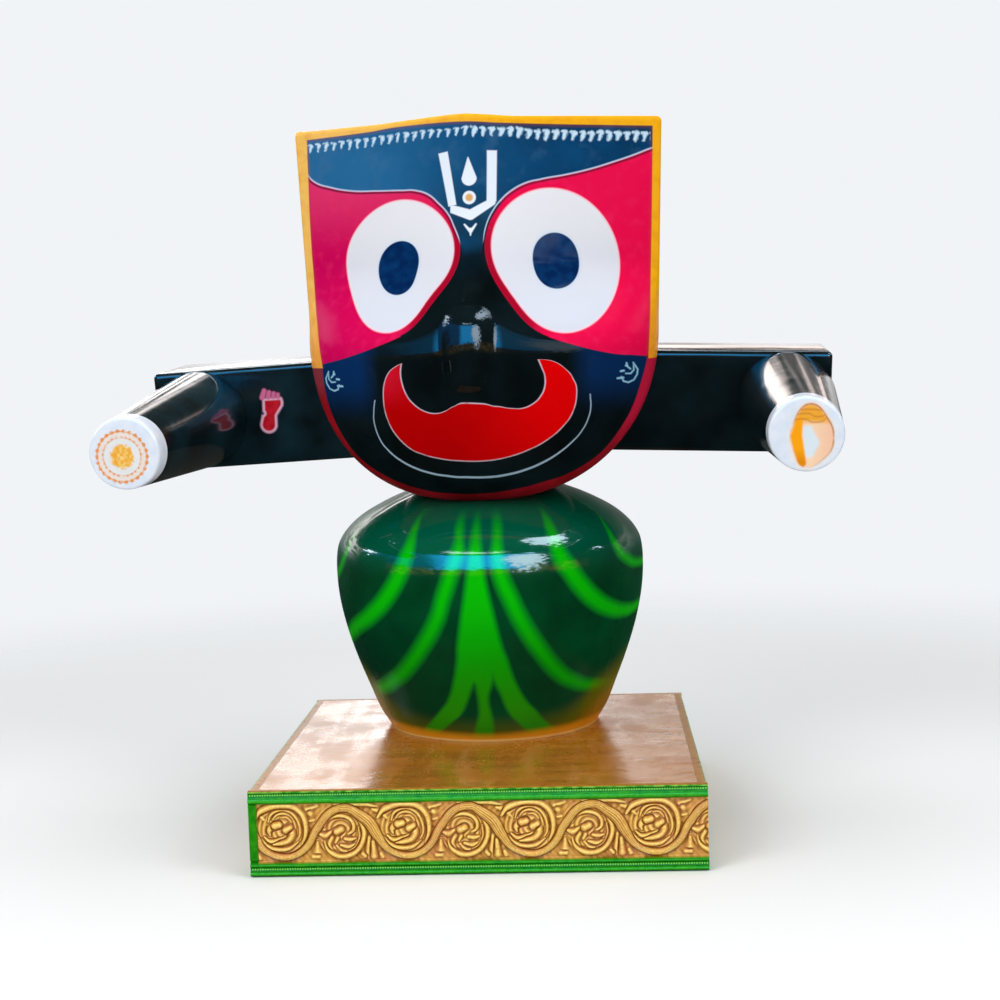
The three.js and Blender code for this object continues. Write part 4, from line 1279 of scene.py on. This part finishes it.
def border_finish():
    """Gold relief with painted shade, brown, in its hollows and painted highlights on its ridges; green rails
    with painted shade in their grooves and painted highlights on their crowns, beads and top lip; and the
    plinth's brown along the top edge.
    """
    f = Finish("border_gold_and_green")
    shade = add_node(f.tree, "ShaderNodeAttribute", {"attribute_name": "hollow_shade"}, output=2)
    strip = add_node(f.tree, "ShaderNodeAttribute", {"attribute_name": "strip_place"}, output=1)
    along, outward, up = separate(strip)
    broad, mottle, speck = f.noise(36, 2.0), f.noise(8, 3.0), f.noise(2.5, 2.0)
    gold = blend(mottle.ramp(0.35, 0.7), (212, 152, 68), (228, 176, 92))
    gold = blend(broad.ramp(0.45, 0.65) * 0.7, gold, (212, 136, 84))
    # Brown in the hollows is painted shade; the speckled pale yellow on the ridges is painted highlight.
    hollow = blend(mottle.ramp(0.4, 0.7), (122, 72, 8), (152, 94, 20))
    colour = blend(shade.ease(0.14, 0.6), hollow, gold)
    colour = blend(shade.ease(0.58, 0.82) * speck.ramp(0.2, 0.5) * 0.9, colour, (252, 220, 124))
    low, high = (up - BOTTOM_RAIL + 3.5) / 3, (BORDER_HEIGHT - TOP_RAIL + 0.6 - up) / 1.2
    rails = low.at_most(high).at_most((along - END_RAIL + 1) / 2)
    # Rail green: darker in the grooves as painted shade, speckled lighter on the crowns as painted highlight.
    green = layered(
        blend(mottle.ramp(0.35, 0.7), (14, 122, 0), (46, 144, 4)),
        (outward.ease(10.0, 8.8) * 0.6, (4, 112, 6)),
        (outward.ease(11.1, 11.6) * speck.ramp(0.3, 0.55) * 0.5, (80, 200, 60)),
    )
    # The beads pale towards their tops: painted highlight.
    beads = shade.ramp(1.2, 1.8) * outward.ease(9.6, 10.6)
    green = blend(beads, green, (124, 214, 92))
    # Yellow-green along the top lip: painted highlight.
    top_lip_highlight = up.ramp(BORDER_HEIGHT - 3.4, BORDER_HEIGHT - 1.0) * mottle.ramp(0.4, 0.6)
    green = blend(top_lip_highlight * 0.7, green, (150, 196, 80))
    colour = blend(rails.ramp(0.5, -0.5), colour, green)
    on_top = up.ramp(BORDER_HEIGHT - 0.35, BORDER_HEIGHT - 0.1) * outward.ramp(11, 8).times_plus(0.5, 0.5)
    colour = blend(on_top, colour, blend(mottle.ramp(0.3, 0.7), (142, 90, 24), (176, 118, 44)))
    normal = f.bump(speck * 0.5 + mottle * 0.5, 0.25, 0.5)
    return f.done(colour, mottle.times_plus(0.22, 0.2), normal, coat=0.04, coat_roughness=0.15, specular=0.14)


# Stage: a pale floor, soft lights and the camera.

FIGURE_MIDDLE = (0, 0, 0.55)


def make_stage():
    """A pale floor that fades into the pale room some way off."""
    mesh = bpy.data.meshes.new("pale_floor")
    half = 9.0
    corners = [(-half, -half, 0), (half, -half, 0), (half, half, 0), (-half, half, 0)]
    mesh.from_pydata(corners, [], [(0, 1, 2, 3)])
    floor = bpy.data.objects.new("pale_floor", mesh)
    bpy.context.scene.collection.objects.link(floor)
    floor.visible_glossy = False
    f = Finish("pale_floor_paint")
    x, y, z = f.axes
    away = (x * x + y * y).math("SQRT")
    painted = add_node(f.tree, "ShaderNodeBsdfDiffuse", {}, {0: paint(236, 236, 236)})
    clear = add_node(f.tree, "ShaderNodeBsdfTransparent")
    mixed = add_node(f.tree, "ShaderNodeMixShader", {}, {0: away.ease(900, 2600), 1: painted, 2: clear})
    floor.data.materials.append(f.ends_in(mixed))


def make_lights():
    """Three broad lamps, which show in no mirror image, and the pale room."""
    for name, place_m, size, power in (("high_left_light", (-2.2, -2.6, 2.6), (2.2, 2.2), 80),
                                       ("high_right_light", (2.6, -2.0, 2.4), (1.8, 2.2), 54),
                                       ("overhead_light", (0, 0.2, 3.2), (3.0, 2.4), 48)):
        light = bpy.data.lights.new(name, "AREA")
        light.shape = "RECTANGLE"
        light.size, light.size_y = size
        light.energy = power
        lamp = bpy.data.objects.new(name, light)
        lamp.location = place_m
        lamp.rotation_euler = (Vector(FIGURE_MIDDLE) - Vector(place_m)).to_track_quat("-Z", "Y").to_euler()
        lamp.visible_glossy = False
        bpy.context.scene.collection.objects.link(lamp)
    make_room()


def make_room():
    """The surroundings: pale to the eye; in the gloss, a gap of blue sky in front with white clouds about it,
    under a dark canopy and over dark ground, and pale streaky light behind."""
    world = bpy.data.worlds.new("pale_room")
    world.use_nodes = True
    tree = world.node_tree
    tree.nodes.clear()
    direction = add_node(tree, "ShaderNodeTexCoord", output=0)
    x, y, z = separate(direction)

    def noise(stretch, detail):
        values = {"Vector": direction.vector("MULTIPLY", stretch), "Scale": 1.0, "Detail": detail}
        return add_node(tree, "ShaderNodeTexNoise", {}, values)

    def patch(towards, reach, edge):
        """0 within a reach of a direction, rising to 1 over a ragged edge."""
        away = direction.vector("DISTANCE", towards, 1) + (fine - 0.5) * 0.5
        return away.ease(reach, reach + edge)

    fine, streaks = noise((13, 13, 22), 3.0), noise((6, 6, 18), 4.0)
    across = x + (fine - 0.5) * 0.12
    ground = blend(z.ease(-0.2, 0.0), (0.03, 0.03, 0.025, 1), (0.04, 0.06, 0.06, 1))
    glow = z.ease(-0.10, 0.0) * z.ease(0.12, 0.06) * y.ease(-0.1, -0.5) * fine.ramp(0.35, 0.6)
    seen_light = blend(glow, ground, (1.4, 0.8, 0.15, 1))
    level = z + (fine - 0.5) * 0.16
    gap = level.ease(0.05, 0.11) * level.ease(0.60, 0.50) * y.ease(0.3, 0.0)
    sky = blend(across.ease(-0.72, -0.44), (0.05, 0.7, 2.2, 1), (0.3, 6.5, 15.0, 1))
    seen_light = blend(gap * across.ease(0.62, 0.42) * across.ease(-0.99, -0.9), seen_light, sky)
    clouds = joined(
        patch((0.50, -0.17, 0.84), 0.15, 0.10), patch((0.47, -0.80, 0.28), 0.16, 0.16),
        patch((0.84, 0.10, 0.50), 0.14, 0.05), patch((-0.82, 0.25, 0.45), 0.15, 0.06),
    )
    lining = level.ease(0.62, 0.66) * level.ease(0.72, 0.68) * across.ease(-0.5, -0.4) * across.ease(0.3, 0.1)
    seen_light = blend((1 - clouds).at_least(lining * 0.7), seen_light, (11.0, 14.0, 17.0, 1))
    pale = layered(
        blend(x.ease(-0.32, 0.12), (4.4, 4.2, 4.1, 1), (1.7, 1.45, 1.35, 1)),
        (streaks.ramp(0.50, 0.43), (0.06, 0.07, 0.08, 1)),
        (z.ease(0.14, 0.07), blend(streaks.ramp(0.4, 0.6), (0.55, 0.53, 0.52, 1), (1.1, 1.15, 1.2, 1))),
    )
    under_top = (z + x.ease(-0.15, 0.02) * 0.16).ease(0.54, 0.42)
    seen_light = blend(y.ease(0.3, 0.7) * z.ease(-0.04, 0.04) * under_top, seen_light, pale)
    path = tree.nodes.new("ShaderNodeLightPath")
    camera_ray, glossy_ray = (Wire(tree, path.outputs[f"Is {kind} Ray"]) for kind in ("Camera", "Glossy"))
    colour = blend(camera_ray, (0.39, 0.41, 0.42, 1), (0.88, 0.90, 0.93, 1))
    colour = blend(glossy_ray, colour, seen_light)
    background = add_node(tree, "ShaderNodeBackground", {}, {0: colour, 1: 1.0})
    add_node(tree, "ShaderNodeOutputWorld", {}, {0: background}, None)
    bpy.context.scene.world = world


CAMERA_PLACE = (0.1532951, -2.4626201, 0.6732801)
CAMERA_YAW, CAMERA_PITCH, CAMERA_ROLL = -0.05099925, 0.08461588, -0.03042709
LENS_MM = 61.2


def make_camera():
    """The camera's axes from its yaw, its pitch down and its roll."""
    data = bpy.data.cameras.new("photo_camera")
    data.lens, data.sensor_width = LENS_MM, 36.0
    camera = bpy.data.objects.new("photo_camera", data)
    ahead = Vector((math.sin(CAMERA_YAW), math.cos(CAMERA_YAW), 0))
    forward = ahead * math.cos(CAMERA_PITCH) + Vector((0, 0, -math.sin(CAMERA_PITCH)))
    right = Vector((math.cos(CAMERA_YAW), -math.sin(CAMERA_YAW), 0))
    up = right.cross(forward)
    c, s = math.cos(CAMERA_ROLL), math.sin(CAMERA_ROLL)
    right, up = c * right + s * up, c * up - s * right
    axes = Matrix((right, up, -forward)).transposed()
    camera.matrix_world = Matrix.LocRotScale(Vector(CAMERA_PLACE), axes.to_quaternion(), None)
    bpy.context.scene.collection.objects.link(camera)
    bpy.context.scene.camera = camera


make_camera()
make_lights()
make_stage()

head_and_body = make_head_and_body()
head_and_body.data.materials.clear()
head_and_body.data.materials.append(face_finish())
head_and_body.data.materials.append(body_finish())
body_faces(head_and_body)
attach(head_and_body, "root")
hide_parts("head_and_body")

for node, droop, side in (("conch_arm", CONCH_ARM_DROOP, 1), ("wheel_arm", WHEEL_ARM_DROOP, -1)):
    arm = make_arm(node + "_surface", droop, side)
    arm.data.materials.clear()
    arm.data.materials.append(arm_finish(node + "_enamel", droop, side))
    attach(arm, "root")
    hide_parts(node)

gold = border_finish()
side_run = PLINTH_DEPTH - 2 * (BORDER_DEPTH + CLEARANCE)
for quarter, (node, run) in enumerate((("front_border", PLINTH_WIDTH), ("right_border", side_run),
                                       ("back_border", PLINTH_WIDTH), ("left_border", side_run))):
    strip = make_border(node, quarter, run)
    strip.data.materials.append(gold)
    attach(strip, "root")
    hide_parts(node)

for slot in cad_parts["plinth"].material_slots:
    slot.material = plinth_finish()

bpy.context.scene.view_settings.view_transform = "Standard"
